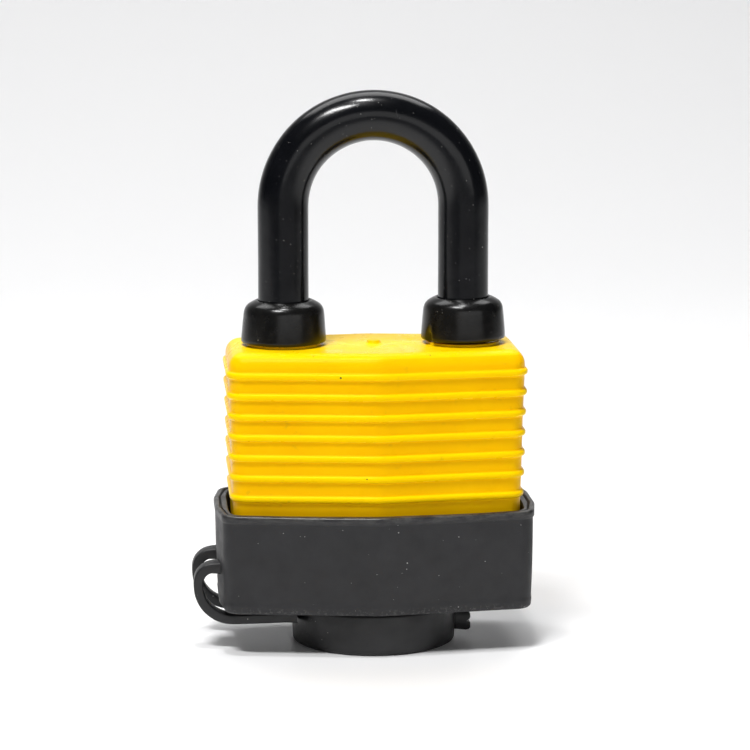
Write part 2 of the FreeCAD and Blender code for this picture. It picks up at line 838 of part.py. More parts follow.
def build_plate(number):
    body = new_body(plate_label(number))
    top = f"body_bottom_z + {number + 1} * plate_thickness"

    def plan(sketch):
        draw_outline(sketch, crested("body_half_width", "body_crest", "body_edge", "body_corner"))

    def round_holes(sketch):
        for side_x, side_y in ALL_CORNERS:
            draw_circle(
                sketch,
                f"{side_x} * rivet_x",
                f"{side_y} * rivet_y",
                "rivet_radius + rivet_hole_gap",
            )
        if number > 0 and number != RETAINER_PLATE:
            draw_circle(sketch, "-leg_half_spacing", "0", "leg_hole_radius")
        if number >= FIRST_TOE_PLATE:
            draw_circle(sketch, "leg_half_spacing", "0", "leg_hole_radius")
        if centre_hole(number):
            draw_circle(sketch, "0", "0", centre_hole(number))

    def chimney(sketch):
        reach = "chimney_half_width + housing_gap"
        draw_box(sketch, minus(reach), reach, "0", "chimney_top_y + housing_gap")

    def retainer_window(sketch):
        draw_box(
            sketch,
            "-retainer_left_x - retainer_inset",
            "-retainer_right_x + retainer_inset",
            "-retainer_half_width - retainer_inset",
            "retainer_half_width + retainer_inset",
        )

    def channel(sketch):
        long, wide = "channel_half_length", "channel_half_width"
        draw_box(sketch, minus(long), long, minus(wide), wide)

    def channel_mouth(sketch):
        long, wide = "channel_mouth_x", "channel_mouth_half"
        draw_box(sketch, minus(long), long, minus(wide), wide)

    pad(body, plan, f"body_bottom_z + {number} * plate_thickness", "plate_thickness")
    cut(body, round_holes, top, "plate_thickness")
    if number in HOUSING_PLATES:
        cut(body, chimney, top, "plate_thickness")
    if number == RETAINER_PLATE:
        cut(body, retainer_window, top, "plate_thickness")
    if number in CHANNEL_PLATES:
        cut(body, channel, top, "plate_thickness")
        cut(body, channel_mouth, top, "plate_thickness")


def build_rivets():
    rivets = [
        rod(
            f"rivet_{number}",
            "rivet_radius",
            f"{PLATE_COUNT} * plate_thickness",
            f"{side_x} * rivet_x",
            f"{side_y} * rivet_y",
            "body_bottom_z",
        )
        for number, (side_x, side_y) in enumerate(ALL_CORNERS, start=1)
    ]
    group("rivets", rivets)


def build_heel_retainer():
    """A horseshoe clip, one plate thick, round the neck of the heel leg."""
    body = new_body("heel_retainer")
    bottom = f"body_bottom_z + {RETAINER_PLATE} * plate_thickness + retainer_inset"
    thickness = "plate_thickness - 2 * retainer_inset"
    half = "retainer_half_width"

    def block(sketch):
        draw_box(sketch, "-retainer_left_x", "-retainer_right_x", minus(half), half)

    def slot_end(sketch):
        draw_circle(sketch, "-leg_half_spacing", "0", "retainer_slot")

    def slot(sketch):
        draw_box(sketch, "-leg_half_spacing", "-0.9 * retainer_right_x", "-retainer_slot", "retainer_slot")

    pad(body, block, bottom, thickness)
    cut(body, slot_end, bottom + " + plate_thickness", "2 * plate_thickness")
    cut(body, slot, bottom + " + plate_thickness", "2 * plate_thickness")


# ---------------------------------------------------------------------------------------------------------
# Lock cylinder: housing, plug, pins, springs, strip and clip


def pin_z(number):
    return f"first_pin_z + {number} * pin_pitch"


def pin_holes(sketch):
    for number in range(PIN_COUNT):
        draw_circle(sketch, "0", pin_z(number), "chamber_radius")


def build_housing():
    body = new_body("cylinder_housing")
    height = "housing_top_z - housing_bottom_z"

    def barrel(sketch):
        draw_circle(sketch, "0", "0", "housing_radius")

    def chimney(sketch):
        draw_box(sketch, "-chimney_half_width", "chimney_half_width", "0", "chimney_top_y")

    def bore(sketch):
        draw_circle(sketch, "0", "0", "plug_radius + plug_bore_gap")

    def strip_seat(sketch):
        draw_box(
            sketch,
            "-strip_half_width",
            "strip_half_width",
            "housing_bottom_z + strip_end_margin",
            "housing_top_z - strip_end_margin",
        )

    pad(body, barrel, "housing_bottom_z", height)
    pad(body, chimney, "housing_bottom_z", height)
    cut(body, bore, "housing_top_z", height)
    cut(body, pin_holes, "-key_pin_top_y + 2 * plug_bore_gap", "chimney_top_y", "XZ_Plane")
    cut(body, strip_seat, "-strip_low_y", "chimney_top_y", "XZ_Plane")


def build_plug():
    body = new_body("plug")

    def barrel(sketch):
        draw_circle(sketch, "0", "0", "plug_radius")

    def keyway(sketch):
        draw_box(sketch, "-keyway_half_width", "keyway_half_width", "-keyway_low_y", "keyway_high_y")

    def clip_groove(sketch):
        draw_circle(sketch, "0", "0", "1.2 * plug_radius")
        draw_circle(sketch, "0", "0", "clip_groove_radius")

    def cam_slot(sketch):
        wide = "cam_tongue_half_width + cam_tongue_gap"
        long = "cam_tongue_half_length + cam_tongue_gap"
        draw_box(sketch, minus(wide), wide, minus(long), long)

    pad(body, barrel, "plug_bottom_z", "plug_top_z - plug_bottom_z")
    cut(body, keyway, "keyway_end_z", "keyway_end_z - plug_bottom_z")
    cut(body, pin_holes, "-pin_hole_low_y", "2 * plug_radius", "XZ_Plane")
    groove_top = "clip_bottom_z + clip_thickness + clip_gap"
    cut(body, clip_groove, groove_top, "clip_thickness + 2 * clip_gap")
    cut(body, cam_slot, "plug_top_z", "cam_tongue_depth + cam_tongue_gap")


def build_plug_clip():
    body = new_body("plug_clip")

    def ring(sketch):
        draw_circle(sketch, "0", "0", "clip_radius")
        draw_circle(sketch, "0", "0", "clip_groove_radius + clip_gap")

    def opening(sketch):
        draw_box(sketch, "-clip_opening_half", "clip_opening_half", "-1.5 * clip_radius", "0")

    pad(body, ring, "clip_bottom_z", "clip_thickness")
    cut(body, opening, "clip_bottom_z + clip_thickness", "clip_thickness")


def build_key_pins():
    """Pointed pins of different lengths that end at the plug's surface, as a fitting key sets them."""
    pins = []
    for number, step in enumerate(KEY_PIN_STEPS):
        length = f"key_pin_base_length + {step} * key_pin_step"
        shank_foot = "key_pin_top_y + key_pin_tip" + " + " + minus(length)
        shank_length = length + " - key_pin_tip"
        shank = rod(
            f"key_pin_shank_{number}", "pin_radius", shank_length, y=shank_foot, z=pin_z(number), axis=Y_AXIS
        )
        tip = doc.addObject("Part::Cone", f"key_pin_tip_{number}")
        tip.Placement.Rotation = FreeCAD.Rotation(Z_AXIS, Y_AXIS)
        bind(
            tip,
            Radius1="0.35 * pin_radius",
            Radius2="pin_radius",
            Height="key_pin_tip",
            Placement__Base__y=shank_foot + " - key_pin_tip",
            Placement__Base__z=pin_z(number),
        )
        pin = doc.addObject("Part::Fuse", f"key_pin_{number}")
        pin.Base = shank
        pin.Tool = tip
        pins.append(pin)
    group("key_pins", pins)


def build_driver_pins():
    pins = [
        rod(
            f"driver_pin_{number}",
            "pin_radius",
            "driver_pin_length",
            y="driver_pin_y",
            z=pin_z(number),
            axis=Y_AXIS,
        )
        for number in range(PIN_COUNT)
    ]
    group("driver_pins", pins)


def build_pin_springs():
    springs = []
    for number in range(PIN_COUNT):
        body = doc.addObject("PartDesign::Body", f"pin_spring_{number}")
        coil(
            body,
            "XY_Plane",
            pin_z(number),
            ("pin_spring_radius", "pin_spring_y"),
            "pin_spring_wire",
            "V_Axis",
            "pin_spring_pitch",
            "pin_spring_length",
        )
        springs.append(body)
    group("pin_springs", springs)


def build_chamber_strip():
    body = new_body("chamber_strip")

    def strip(sketch):
        draw_box(sketch, "-strip_half_width", "strip_half_width", "strip_low_y", "chimney_top_y")

    bottom = "housing_bottom_z + strip_end_margin"
    pad(body, strip, bottom, "housing_top_z - housing_bottom_z - 2 * strip_end_margin")


# ---------------------------------------------------------------------------------------------------------
# Drive cam, locking dogs and the springs of the mechanism


def build_drive_cam():
    body = new_body("drive_cam")

    def tongue(sketch):
        wide, long = "cam_tongue_half_width", "cam_tongue_half_length"
        draw_box(sketch, minus(wide), wide, minus(long), long)

    def shaft(sketch):
        draw_circle(sketch, "0", "0", "cam_shaft_radius")

    def disc(sketch):
        draw_circle(sketch, "0", "0", "cam_disc_radius")

    def drive_pins(sketch):
        for away in ("drive_pin_offset", "-drive_pin_offset"):
            draw_circle(sketch, away, away, "drive_pin_radius")

    pad(body, shaft, "cam_bottom_z", "cam_disc_z - cam_bottom_z")
    pad(body, tongue, "cam_bottom_z - cam_tongue_depth", "cam_tongue_depth")
    pad(body, disc, "cam_disc_z", "cam_disc_top_z - cam_disc_z")
    pad(body, drive_pins, "cam_disc_top_z", "drive_pin_top_z - cam_disc_top_z")


def build_dog(label, turn):
    """A sliding dog: a round-nosed head in the shackle's notch and a slotted tail over the drive cam."""
    body = new_body(label)
    head_x = "dog_nose_x - dog_head_length"
    nose = "dog_nose_x"

    def plan(sketch):
        draw_outline(
            sketch,
            [
                ("dog_tail_end_x", "dog_tail_low_y"),
                (head_x, "dog_tail_low_y"),
                (head_x, "-dog_head_half_width"),
                (nose, "-dog_head_half_width"),
                (nose, "dog_head_half_width"),
                ("dog_shoulder_x", "dog_head_half_width"),
                ("dog_shoulder_x", "dog_tail_high_y"),
                ("dog_tail_end_x", "dog_tail_high_y"),
            ],
        )

    def slot(sketch):
        draw_box(
            sketch,
            "drive_pin_offset - dog_slot_half_width",
            "drive_pin_offset + dog_slot_half_width",
            "dog_slot_low_y",
            "dog_slot_high_y",
        )

    pad(body, plan, "dog_centre_z - dog_half_height", "2 * dog_half_height")
    nose_edges = []
    for level in ("dog_centre_z - dog_half_height", "dog_centre_z + dog_half_height"):
        tip, height = value(nose), value(level)
        nose_edges += edges_where(body.Shape, lambda p: abs(p.x - tip) + abs(p.z - height) < SAME_PLACE)
    dress(body, "Fillet", body.Tip, nose_edges, Radius="dog_nose_round")
    cut(body, slot, "dog_centre_z + dog_half_height", "2 * dog_half_height")
    body.Placement = FreeCAD.Placement(FreeCAD.Vector(0, 0, 0), FreeCAD.Rotation(Z_AXIS, turn))


def build_dog_spring():
    body = new_body("dog_spring")
    coil(
        body,
        "XY_Plane",
        "dog_centre_z",
        ("-dog_spring_half_length", "dog_spring_radius"),
        "dog_spring_wire",
        "H_Axis",
        "dog_spring_pitch",
        "2 * dog_spring_half_length",
    )


def build_shackle_spring():
    body = new_body("shackle_spring")
    coil(
        body,
        "XZ_Plane",
        "0",
        ("shackle_spring_radius", "shackle_spring_start_z"),
        "shackle_spring_wire",
        "V_Axis",
        "shackle_spring_pitch",
        "shackle_spring_length",
    )
    bind(body, Placement__Base__x="-leg_half_spacing")


# ---------------------------------------------------------------------------------------------------------


def build_all():
    build_shackle()
    build_sleeve()
    build_seal("heel_seal", "-leg_half_spacing", "heel_seal_z")
    build_seal("toe_seal", "leg_half_spacing", "toe_seal_z")
    build_top_cover()
    build_skirt()
    build_keyway_cap()
    build_cap_anchor()
    build_strap("cap_strap_front", "-strap_y")
    build_strap("cap_strap_rear", "strap_y")
    for number in range(PLATE_COUNT):
        build_plate(number)
    build_rivets()
    build_heel_retainer()
    build_housing()
    build_plug()
    build_plug_clip()
    build_key_pins()
    build_driver_pins()
    build_pin_springs()
    build_chamber_strip()
    build_drive_cam()
    build_dog("toe_dog", 0)
    build_dog("heel_dog", 180)
    build_dog_spring()
    build_shackle_spring()


def check_and_export():
    """Stop on any failed object; then write every node's shape to its own file."""
    doc.recompute()
    for thing in doc.Objects:
        if "Invalid" in thing.State or "Error" in thing.State:
            raise RuntimeError(f"{thing.Label} is {thing.State}")
    for node in nodes:
        if node.Shape.isNull() or not node.Shape.isValid():
            raise RuntimeError(f"{node.Label} has no valid shape")
    os.makedirs("parts", exist_ok=True)
    for node in nodes:
        node.Shape.exportStep(os.path.join("parts", node.Label + ".step"))
        print(f"{node.Label}: {len(node.Shape.Solids)} solids, {node.Shape.Volume:.2f} mm3")


make_sheet()
build_all()
check_and_export()
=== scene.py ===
"""Looks of the padlock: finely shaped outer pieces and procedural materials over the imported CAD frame."""

import json
import math
import random

import bmesh
import bpy
from mathutils import Matrix, Vector
from mathutils.geometry import delaunay_2d_cdt


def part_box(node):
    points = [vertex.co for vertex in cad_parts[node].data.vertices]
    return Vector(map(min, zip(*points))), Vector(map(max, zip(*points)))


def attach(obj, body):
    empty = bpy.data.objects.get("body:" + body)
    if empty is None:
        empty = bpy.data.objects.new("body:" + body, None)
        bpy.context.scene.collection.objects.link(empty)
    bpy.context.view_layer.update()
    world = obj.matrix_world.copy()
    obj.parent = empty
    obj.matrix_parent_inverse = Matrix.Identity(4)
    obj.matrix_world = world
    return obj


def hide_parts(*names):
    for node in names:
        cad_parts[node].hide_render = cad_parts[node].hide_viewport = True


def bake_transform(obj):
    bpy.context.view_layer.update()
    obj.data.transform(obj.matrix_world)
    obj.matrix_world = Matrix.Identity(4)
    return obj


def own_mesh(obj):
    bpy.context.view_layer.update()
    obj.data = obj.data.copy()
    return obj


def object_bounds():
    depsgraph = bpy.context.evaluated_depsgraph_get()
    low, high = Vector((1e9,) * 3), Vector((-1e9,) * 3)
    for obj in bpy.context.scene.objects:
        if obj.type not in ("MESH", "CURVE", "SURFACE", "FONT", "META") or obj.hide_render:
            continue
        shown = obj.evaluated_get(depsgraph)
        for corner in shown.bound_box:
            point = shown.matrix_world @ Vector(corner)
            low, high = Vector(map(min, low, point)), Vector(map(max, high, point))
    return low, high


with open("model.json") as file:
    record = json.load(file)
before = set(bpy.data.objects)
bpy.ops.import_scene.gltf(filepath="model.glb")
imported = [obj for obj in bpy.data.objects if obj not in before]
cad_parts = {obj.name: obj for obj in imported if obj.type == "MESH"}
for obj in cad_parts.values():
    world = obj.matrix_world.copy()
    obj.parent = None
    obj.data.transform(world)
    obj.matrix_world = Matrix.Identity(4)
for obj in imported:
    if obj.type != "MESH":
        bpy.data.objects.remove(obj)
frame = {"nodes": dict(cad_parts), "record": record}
CAD_LOW, CAD_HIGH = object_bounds()

MM = 0.001
SEED = 7
QUARTER_TURN = math.pi / 2
# A triangle lower than this share of its longest side counts as a line.
SLIVER_SHARE = 1e-4


# ---------------------------------------------------------------------------------------------------------
# Places and sizes read from the CAD boxes, in millimetres


def box_mm(node):
    """A node's lowest and highest corners."""
    low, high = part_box(node)
    return low / MM, high / MM


COVER_LOW, COVER_HIGH = box_mm("top_cover")
SKIRT_LOW, SKIRT_HIGH = box_mm("skirt")
CAP_LOW, CAP_HIGH = box_mm("keyway_cap")
SLEEVE_LOW, SLEEVE_HIGH = box_mm("shackle_sleeve")
ANCHOR_LOW, ANCHOR_HIGH = box_mm("cap_anchor")
PLATE_TOP = box_mm("top_plate")[1].z

SLEEVE_RADIUS = (SLEEVE_HIGH.y - SLEEVE_LOW.y) / 2
LEG_X = SLEEVE_HIGH.x - SLEEVE_RADIUS
SHACKLE_RADIUS = 3.2
ARCH_Z = SLEEVE_HIGH.z - SLEEVE_RADIUS - LEG_X


# ---------------------------------------------------------------------------------------------------------
# Plans: closed outlines with rounded corners, always with the same number of points

CREST_ROUND = 6.0
SKIRT_SIDE_ROUND = 7.0
SKIRT_CORNER_ROUND = 2.6
SKIRT_LEAST_ROUND = 0.3


def rounded_plan(corners, arc_steps=9, run_steps=8):
    """Points round a convex outline of (x, y, radius) corners, anticlockwise."""
    count = len(corners)
    arcs = []
    for i, (x, y, radius) in enumerate(corners):
        corner = Vector((x, y))
        back = (Vector(corners[i - 1][:2]) - corner).normalized()
        ahead = (Vector(corners[(i + 1) % count][:2]) - corner).normalized()
        half = back.angle(ahead) / 2
        centre = corner + (back + ahead).normalized() * (radius / math.sin(half))
        start = corner + back * (radius / math.tan(half)) - centre
        first = math.atan2(start.y, start.x)
        sweep = math.pi - 2 * half
        turns = [first + sweep * j / arc_steps for j in range(arc_steps + 1)]
        arcs.append([centre + radius * Vector((math.cos(turn), math.sin(turn))) for turn in turns])
    points = []
    for i, arc in enumerate(arcs):
        points += arc
        following = arcs[(i + 1) % count][0]
        points += [arc[-1].lerp(following, j / run_steps) for j in range(1, run_steps)]
    return points


def cover_plan(half_width, crest, edge, corner):
    """The cover's plan: a crest front and back, and flat sides."""
    return rounded_plan(
        [
            (0, -crest, CREST_ROUND),
            (half_width, -edge, corner),
            (half_width, edge, corner),
            (0, crest, CREST_ROUND),
            (-half_width, edge, corner),
            (-half_width, -edge, corner),
        ]
    )


def skirt_plan(half_width, crest, shoulder_x, shoulder_y, side_half, inset=0.0):
    """The skirt's plan: a crest front and back, and corners drawn in from short flat sides."""
    corner = max(SKIRT_LEAST_ROUND, SKIRT_CORNER_ROUND - inset)
    right = [
        (0, -crest + inset, CREST_ROUND),
        (shoulder_x - inset, -shoulder_y + inset, corner),
        (half_width - inset, -side_half, SKIRT_SIDE_ROUND),
        (half_width - inset, side_half, SKIRT_SIDE_ROUND),
        (shoulder_x - inset, shoulder_y - inset, corner),
    ]
    return rounded_plan(right + [(-x, -y, radius) for x, y, radius in right], run_steps=6)


def circle(radius, count=72, x=0.0):
    """Points round a circle whose centre is on the X axis."""
    turns = [math.tau * i / count for i in range(count)]
    return [Vector((x + radius * math.cos(turn), radius * math.sin(turn))) for turn in turns]


def across_line(line, index):
    """The direction square to a line of (x, z) points, at one of them."""
    before, after = line[max(0, index - 1)], line[min(len(line) - 1, index + 1)]
    along = Vector((after[0] - before[0], after[1] - before[1])).normalized()
    return Vector((-along.y, along.x))


# ---------------------------------------------------------------------------------------------------------
# Shells: rings of points joined into one closed mesh


class Shell:
    """Collects rings and faces in millimetres, then makes a mesh object in metres."""

    def __init__(self):
        self.points = []
        self.faces = []

    def ring(self, plan, z):
        """Adds a ring of plan points at a height, and returns its indices."""
        return self.space_ring([(p.x, p.y, z) for p in plan])

    def space_ring(self, points):
        """Adds a ring of points anywhere, and returns its indices."""
        first = len(self.points)
        self.points += [tuple(p) for p in points]
        return list(range(first, first + len(points)))

    def join(self, one, other):
        """A band of faces between two rings of as many points."""
        count = len(one)
        for i in range(count):
            j = (i + 1) % count
            self.faces.append((one[i], one[j], other[j], other[i]))

    def stack(self, rings):
        """Bands of faces from each ring to the next."""
        for one, other in zip(rings, rings[1:]):
            self.join(one, other)

    def close(self, rings):
        """A stack with both its ends capped."""
        self.stack(rings)
        self.cap(rings[0])
        self.cap(rings[-1])

    def fill(self, outer, holes=()):
        """Triangles between a convex ring and round or convex holes in it."""
        indices = list(outer)
        edges = [(i, (i + 1) % len(outer)) for i in range(len(outer))]
        hole_plans = []
        for hole in holes:
            start = len(indices)
            indices += hole
            edges += [(start + i, start + (i + 1) % len(hole)) for i in range(len(hole))]
            hole_plans.append([Vector(self.points[i][:2]) for i in hole])
        flat = [Vector(self.points[i][:2]) for i in indices]
        places, _, faces, origins, _, _ = delaunay_2d_cdt(flat, edges, [], 0, 1e-7)
        back = [origin[0] for origin in origins]
        for face in faces:
            corners = [places[i] for i in face]
            middle = sum(corners, Vector((0, 0))) / len(corners)
            if not is_sliver(*corners) and not any(inside(middle, plan) for plan in hole_plans):
                self.faces.append(tuple(indices[back[i]] for i in face))

    def cap(self, ring):
        """Closes a ring with a fan round its middle."""
        middle = sum((Vector(self.points[i]) for i in ring), Vector((0, 0, 0))) / len(ring)
        self.points.append(tuple(middle))
        centre = len(self.points) - 1
        for i in range(len(ring)):
            self.faces.append((ring[i], ring[(i + 1) % len(ring)], centre))

    def build(self, name, sharp_angle=40):
        """The mesh object of all the faces, in metres."""
        mesh = bpy.data.meshes.new(name)
        mesh.from_pydata([Vector(p) * MM for p in self.points], [], self.faces)
        return finish_mesh(mesh, name, sharp_angle)


def is_sliver(one, other, third):
    """Whether three points lie all but on one line."""
    longest = max((one - other).length, (other - third).length, (third - one).length)
    return abs((other - one).cross(third - one)) < SLIVER_SHARE * longest**2


def inside(point, convex_plan):
    """Whether a point is inside an anticlockwise convex outline."""
    for one, other in zip(convex_plan, convex_plan[1:] + convex_plan[:1]):
        if (other - one).cross(point - one) < 0:
            return False
    return True


def finish_mesh(mesh, name, sharp_angle):
    """An object of a mesh with its faces turned outwards, smooth but for its sharp edges."""
    form = bmesh.new()
    form.from_mesh(mesh)
    bmesh.ops.recalc_face_normals(form, faces=form.faces)
    form.to_mesh(mesh)
    form.free()
    mesh.shade_smooth()
    mesh.set_sharp_from_angle(angle=math.radians(sharp_angle))
    made = bpy.data.objects.new(name, mesh)
    bpy.context.scene.collection.objects.link(made)
    return made


def bend_points(made, shift):
    """Moves every vertex by shift(x, y, z) in millimetres."""
    for vertex in made.data.vertices:
        vertex.co += shift(*(vertex.co / MM)) * MM
    made.data.update()


def quarter(radius, steps=6):
    """(inset, drop) pairs along a quarter round, from the wall (inset 0) to the flat (drop 0)."""
    turns = [QUARTER_TURN * i / steps for i in range(steps + 1)]
    return [(radius * (1 - math.cos(turn)), radius * (1 - math.sin(turn))) for turn in turns]


# ---------------------------------------------------------------------------------------------------------
# Cover

RIB_COUNT = 7
RIB_PITCH = 3.09
RIB_FIRST_DROP = 3.3
RIB_HALF_HEIGHT = 0.53
RIB_PROUD = 0.46
# (height from the rib's middle, height of the rib there), as shares of its half height and of its stand.
RIB_SHAPE = (
    (-1.5, 0), (-1.2, 0.02), (-1.03, 0.12), (-0.93, 0.36), (-0.78, 0.66), (-0.55, 0.88), (-0.25, 0.98),
    (0.25, 0.98), (0.55, 0.88), (0.78, 0.66), (0.93, 0.36), (1.03, 0.12), (1.2, 0.02), (1.5, 0),
)
RIB_TURN = math.tau / (RIB_PITCH * MM)
COVER_DRAFT = 0.023
COVER_ROUND = 2.2
COVER_HALF_WIDTH = COVER_HIGH.x - RIB_PROUD + COVER_DRAFT * RIB_FIRST_DROP
COVER_CREST = 12.5
COVER_EDGE = 9.4
COVER_CORNER = 2.4
BOSS_HEIGHT = 0.4
BOSS_RADIUS = 5.6
COVER_TOP = COVER_HIGH.z - BOSS_HEIGHT
COVER_WALL = 1.4
COVER_LEAST_CORNER = 0.15
COVER_INNER_CORNER = 1.2
COVER_CEILING = PLATE_TOP + 0.15
LEG_HOLE_RADIUS = SLEEVE_RADIUS + 0.27
# (radius, height above the cover's top), from the boss's root up its wall and over into the leg's hole.
BOSS_PROFILE = (
    (BOSS_RADIUS + 0.36, 0), (BOSS_RADIUS + 0.22, 0), (BOSS_RADIUS + 0.08, 0.04), (BOSS_RADIUS, 0.14),
    (BOSS_RADIUS, 0.26), (BOSS_RADIUS - 0.05, 0.36), (BOSS_RADIUS - 0.16, BOSS_HEIGHT),
    (BOSS_RADIUS - 0.3, BOSS_HEIGHT), (LEG_HOLE_RADIUS + 0.15, BOSS_HEIGHT), (LEG_HOLE_RADIUS + 0.04, 0.36),
    (LEG_HOLE_RADIUS, 0.25),
)
COVER_BOW = 0.05
COVER_RIPPLE = 0.035
COVER_SIDE_RIPPLE = 0.02
GATE_POINTS = 40
# (radius, height above the cover's top)
GATE_PROFILE = (
    (1.45, -0.1), (1.2, 0.03), (1.04, 0.16), (0.98, 0.36), (0.9, 0.5), (0.7, 0.57), (0.4, 0.55),
)


def cover_levels():
    """(drop below the top, stand) of every ring of the outer wall, from the top down."""
    flat_ring = (0.0, -COVER_ROUND - 0.15)
    levels = [flat_ring]
    levels += [(drop, -inset) for inset, drop in reversed(quarter(COVER_ROUND, 9))]
    for number in range(RIB_COUNT):
        middle = RIB_FIRST_DROP + number * RIB_PITCH
        levels += [(middle + share * RIB_HALF_HEIGHT, stand * RIB_PROUD) for share, stand in RIB_SHAPE]
        levels.append((middle + RIB_PITCH / 2, 0.0))
    bottom = COVER_TOP - COVER_LOW.z
    return levels + [(bottom - 0.4, 0.0), (bottom - 0.1, -0.1), (bottom, -0.4)]


def cover_ring(shell, change, corner, z):
    plan = cover_plan(COVER_HALF_WIDTH + change, COVER_CREST + change, COVER_EDGE + change, corner)
    return shell.ring(plan, z)


def cover_boss(shell, x):
    """The raised ring round a leg's hole, and the hole down to the ceiling."""
    boss = [shell.ring(circle(radius, x=x), COVER_TOP + rise) for radius, rise in BOSS_PROFILE]
    boss.append(shell.ring(circle(LEG_HOLE_RADIUS, x=x), COVER_CEILING))
    shell.stack(boss)
    return boss


def make_cover():
    shell = Shell()
    rings = []
    for drop, stand in cover_levels():
        corner = max(COVER_LEAST_CORNER, COVER_CORNER + stand)
        rings.append(cover_ring(shell, stand - COVER_DRAFT * drop, corner, COVER_TOP - drop))
    inward = -COVER_WALL - COVER_DRAFT * (COVER_TOP - COVER_LOW.z)
    for z in (COVER_LOW.z, COVER_LOW.z + 0.3, COVER_CEILING):
        rings.append(cover_ring(shell, inward, COVER_INNER_CORNER, z))
    shell.stack(rings)
    bosses = [cover_boss(shell, side * LEG_X) for side in (-1, 1)]
    shell.fill(rings[0], [boss[0] for boss in bosses])
    shell.fill(rings[-1], [boss[-1] for boss in bosses])
    made = shell.build("cover")
    bend_points(made, cover_wave)
    return made


def cover_wave(x, y, z):
    """Slight unevenness of the moulding: the long faces draw in a little and ripple."""
    if z < COVER_LOW.z + 1:
        return Vector((0, 0, 0))
    middle = math.cos(min(1.0, abs(x) / 21.0) * QUARTER_TURN)
    ripple = COVER_RIPPLE * math.sin(0.41 * x + 0.8) * math.sin(0.19 * z + 0.3)
    inward = -(COVER_BOW * middle + ripple) * (1 if y > 0 else -1) * min(1.0, abs(y) / 7.0)
    on_side = abs(x) > 20
    outward = COVER_SIDE_RIPPLE * math.sin(0.5 * z) * (1 if x > 0 else -1) * on_side
    return Vector((outward, inward, 0))


def make_gate_mark():
    """The cut-off stub of the moulding gate in the middle of the cover's top."""
    shell = Shell()
    rings = []
    for radius, rise in GATE_PROFILE:
        plan = circle(radius, GATE_POINTS)
        for i, point in enumerate(plan):
            angle = math.tau * i / GATE_POINTS
            point *= 1 + 0.06 * math.sin(3 * angle + 1) + 0.04 * math.sin(7 * angle)
        rings.append(shell.ring(plan, COVER_TOP + rise))
    shell.close(rings)
    return shell.build("gate_mark", 60)


# ---------------------------------------------------------------------------------------------------------
# Skirt

# Plan sizes: half width, crest, the shoulder's x and y, and half of the flat side.
SKIRT_BASE = (23.75, 14.3, 22.9, 11.05, 3.8)
SKIRT_RIM = (24.1, 14.6, 23.1, 11.1, 4.0)
SKIRT_POCKET = (22.3, 12.7, 21.9, 9.9, 4.6)
SKIRT_BOTTOM = 6.5
RIM_BAND = 0.17
RIM_BAND_HEIGHT = 1.15
COLLAR_RADIUS = 10.65
KEY_OPENING = 9.0
BODY_BOTTOM = box_mm("bottom_plate")[0].z
FOOT_ROUND = 0.6
WALL_STEPS = 8
WALL_BELLY = 0.06
# (height above the skirt's bottom, inset): the faint bead above the foot.
FOOT_PROFILE = ((1.1, -0.03), (1.35, -0.05), (1.55, -0.02), (1.75, 0.02), (2.2, 0.0))
# (height above the lower edge of the rim's band, inset); a negative inset stands proud.
BAND_PROFILE = ((-0.16, 0.0), (-0.05, -0.03), (0.05, -0.12), (0.18, -RIM_BAND))
# (drop below the rim's top, inset): over the rim, through the groove along it and down to the pocket.
RIM_PROFILE = (
    (0.4, -RIM_BAND), (0.2, -0.12), (0.07, 0.0), (0.01, 0.14), (0, 0.26), (0, 0.46), (0.05, 0.56),
    (0.2, 0.62), (0.42, 0.68), (0.48, 0.76), (0.42, 0.84), (0.22, 0.9), (0.12, 0.98), (0.1, 1.08),
)
# (drop below the rim's top, inset of the pocket's plan)
POCKET_PROFILE = ((0.14, -0.12), (0.3, -0.03), (0.6, 0.0), (4.0, 0.0), (9.0, 0.0))
COLLAR_BOTTOM = SKIRT_LOW.z
# (radius, height), down the collar's outside, round its foot and up its inside.
COLLAR_PROFILE = (
    (COLLAR_RADIUS + 0.3, SKIRT_BOTTOM), (COLLAR_RADIUS + 0.06, SKIRT_BOTTOM - 0.08),
    (COLLAR_RADIUS, SKIRT_BOTTOM - 0.3), (COLLAR_RADIUS, COLLAR_BOTTOM + 0.4),
    (COLLAR_RADIUS - 0.1, COLLAR_BOTTOM + 0.1), (COLLAR_RADIUS - 0.35, COLLAR_BOTTOM),
    (KEY_OPENING + 0.3, COLLAR_BOTTOM), (KEY_OPENING + 0.08, COLLAR_BOTTOM + 0.1),
    (KEY_OPENING, COLLAR_BOTTOM + 0.35), (KEY_OPENING, BODY_BOTTOM),
)
RIM_BOW = 0.09
RIM_DIP = 0.10


def between(one, other, share):
    """Sizes part of the way from one set to another."""
    return [a + (b - a) * share for a, b in zip(one, other)]


def skirt_wall(height):
    """The wall's plan sizes at a height above the skirt's bottom."""
    return between(SKIRT_BASE, SKIRT_RIM, height / (SKIRT_HIGH.z - SKIRT_BOTTOM))


def skirt_levels():
    """(height above the skirt's bottom, inset) of every ring of the wall, from the foot over the rim."""
    tall = SKIRT_HIGH.z - SKIRT_BOTTOM
    levels = [(drop, inset) for inset, drop in reversed(quarter(FOOT_ROUND, 6))]
    levels += FOOT_PROFILE
    low = FOOT_PROFILE[-1][0]
    for i in range(1, WALL_STEPS + 1):
        height = low + (tall - 4.0) * i / WALL_STEPS
        levels.append((height, -WALL_BELLY * math.sin(math.pi * i / WALL_STEPS)))
    band = tall - RIM_BAND_HEIGHT
    levels += [(band + height, inset) for height, inset in BAND_PROFILE]
    return levels + [(tall - drop, inset) for drop, inset in RIM_PROFILE]


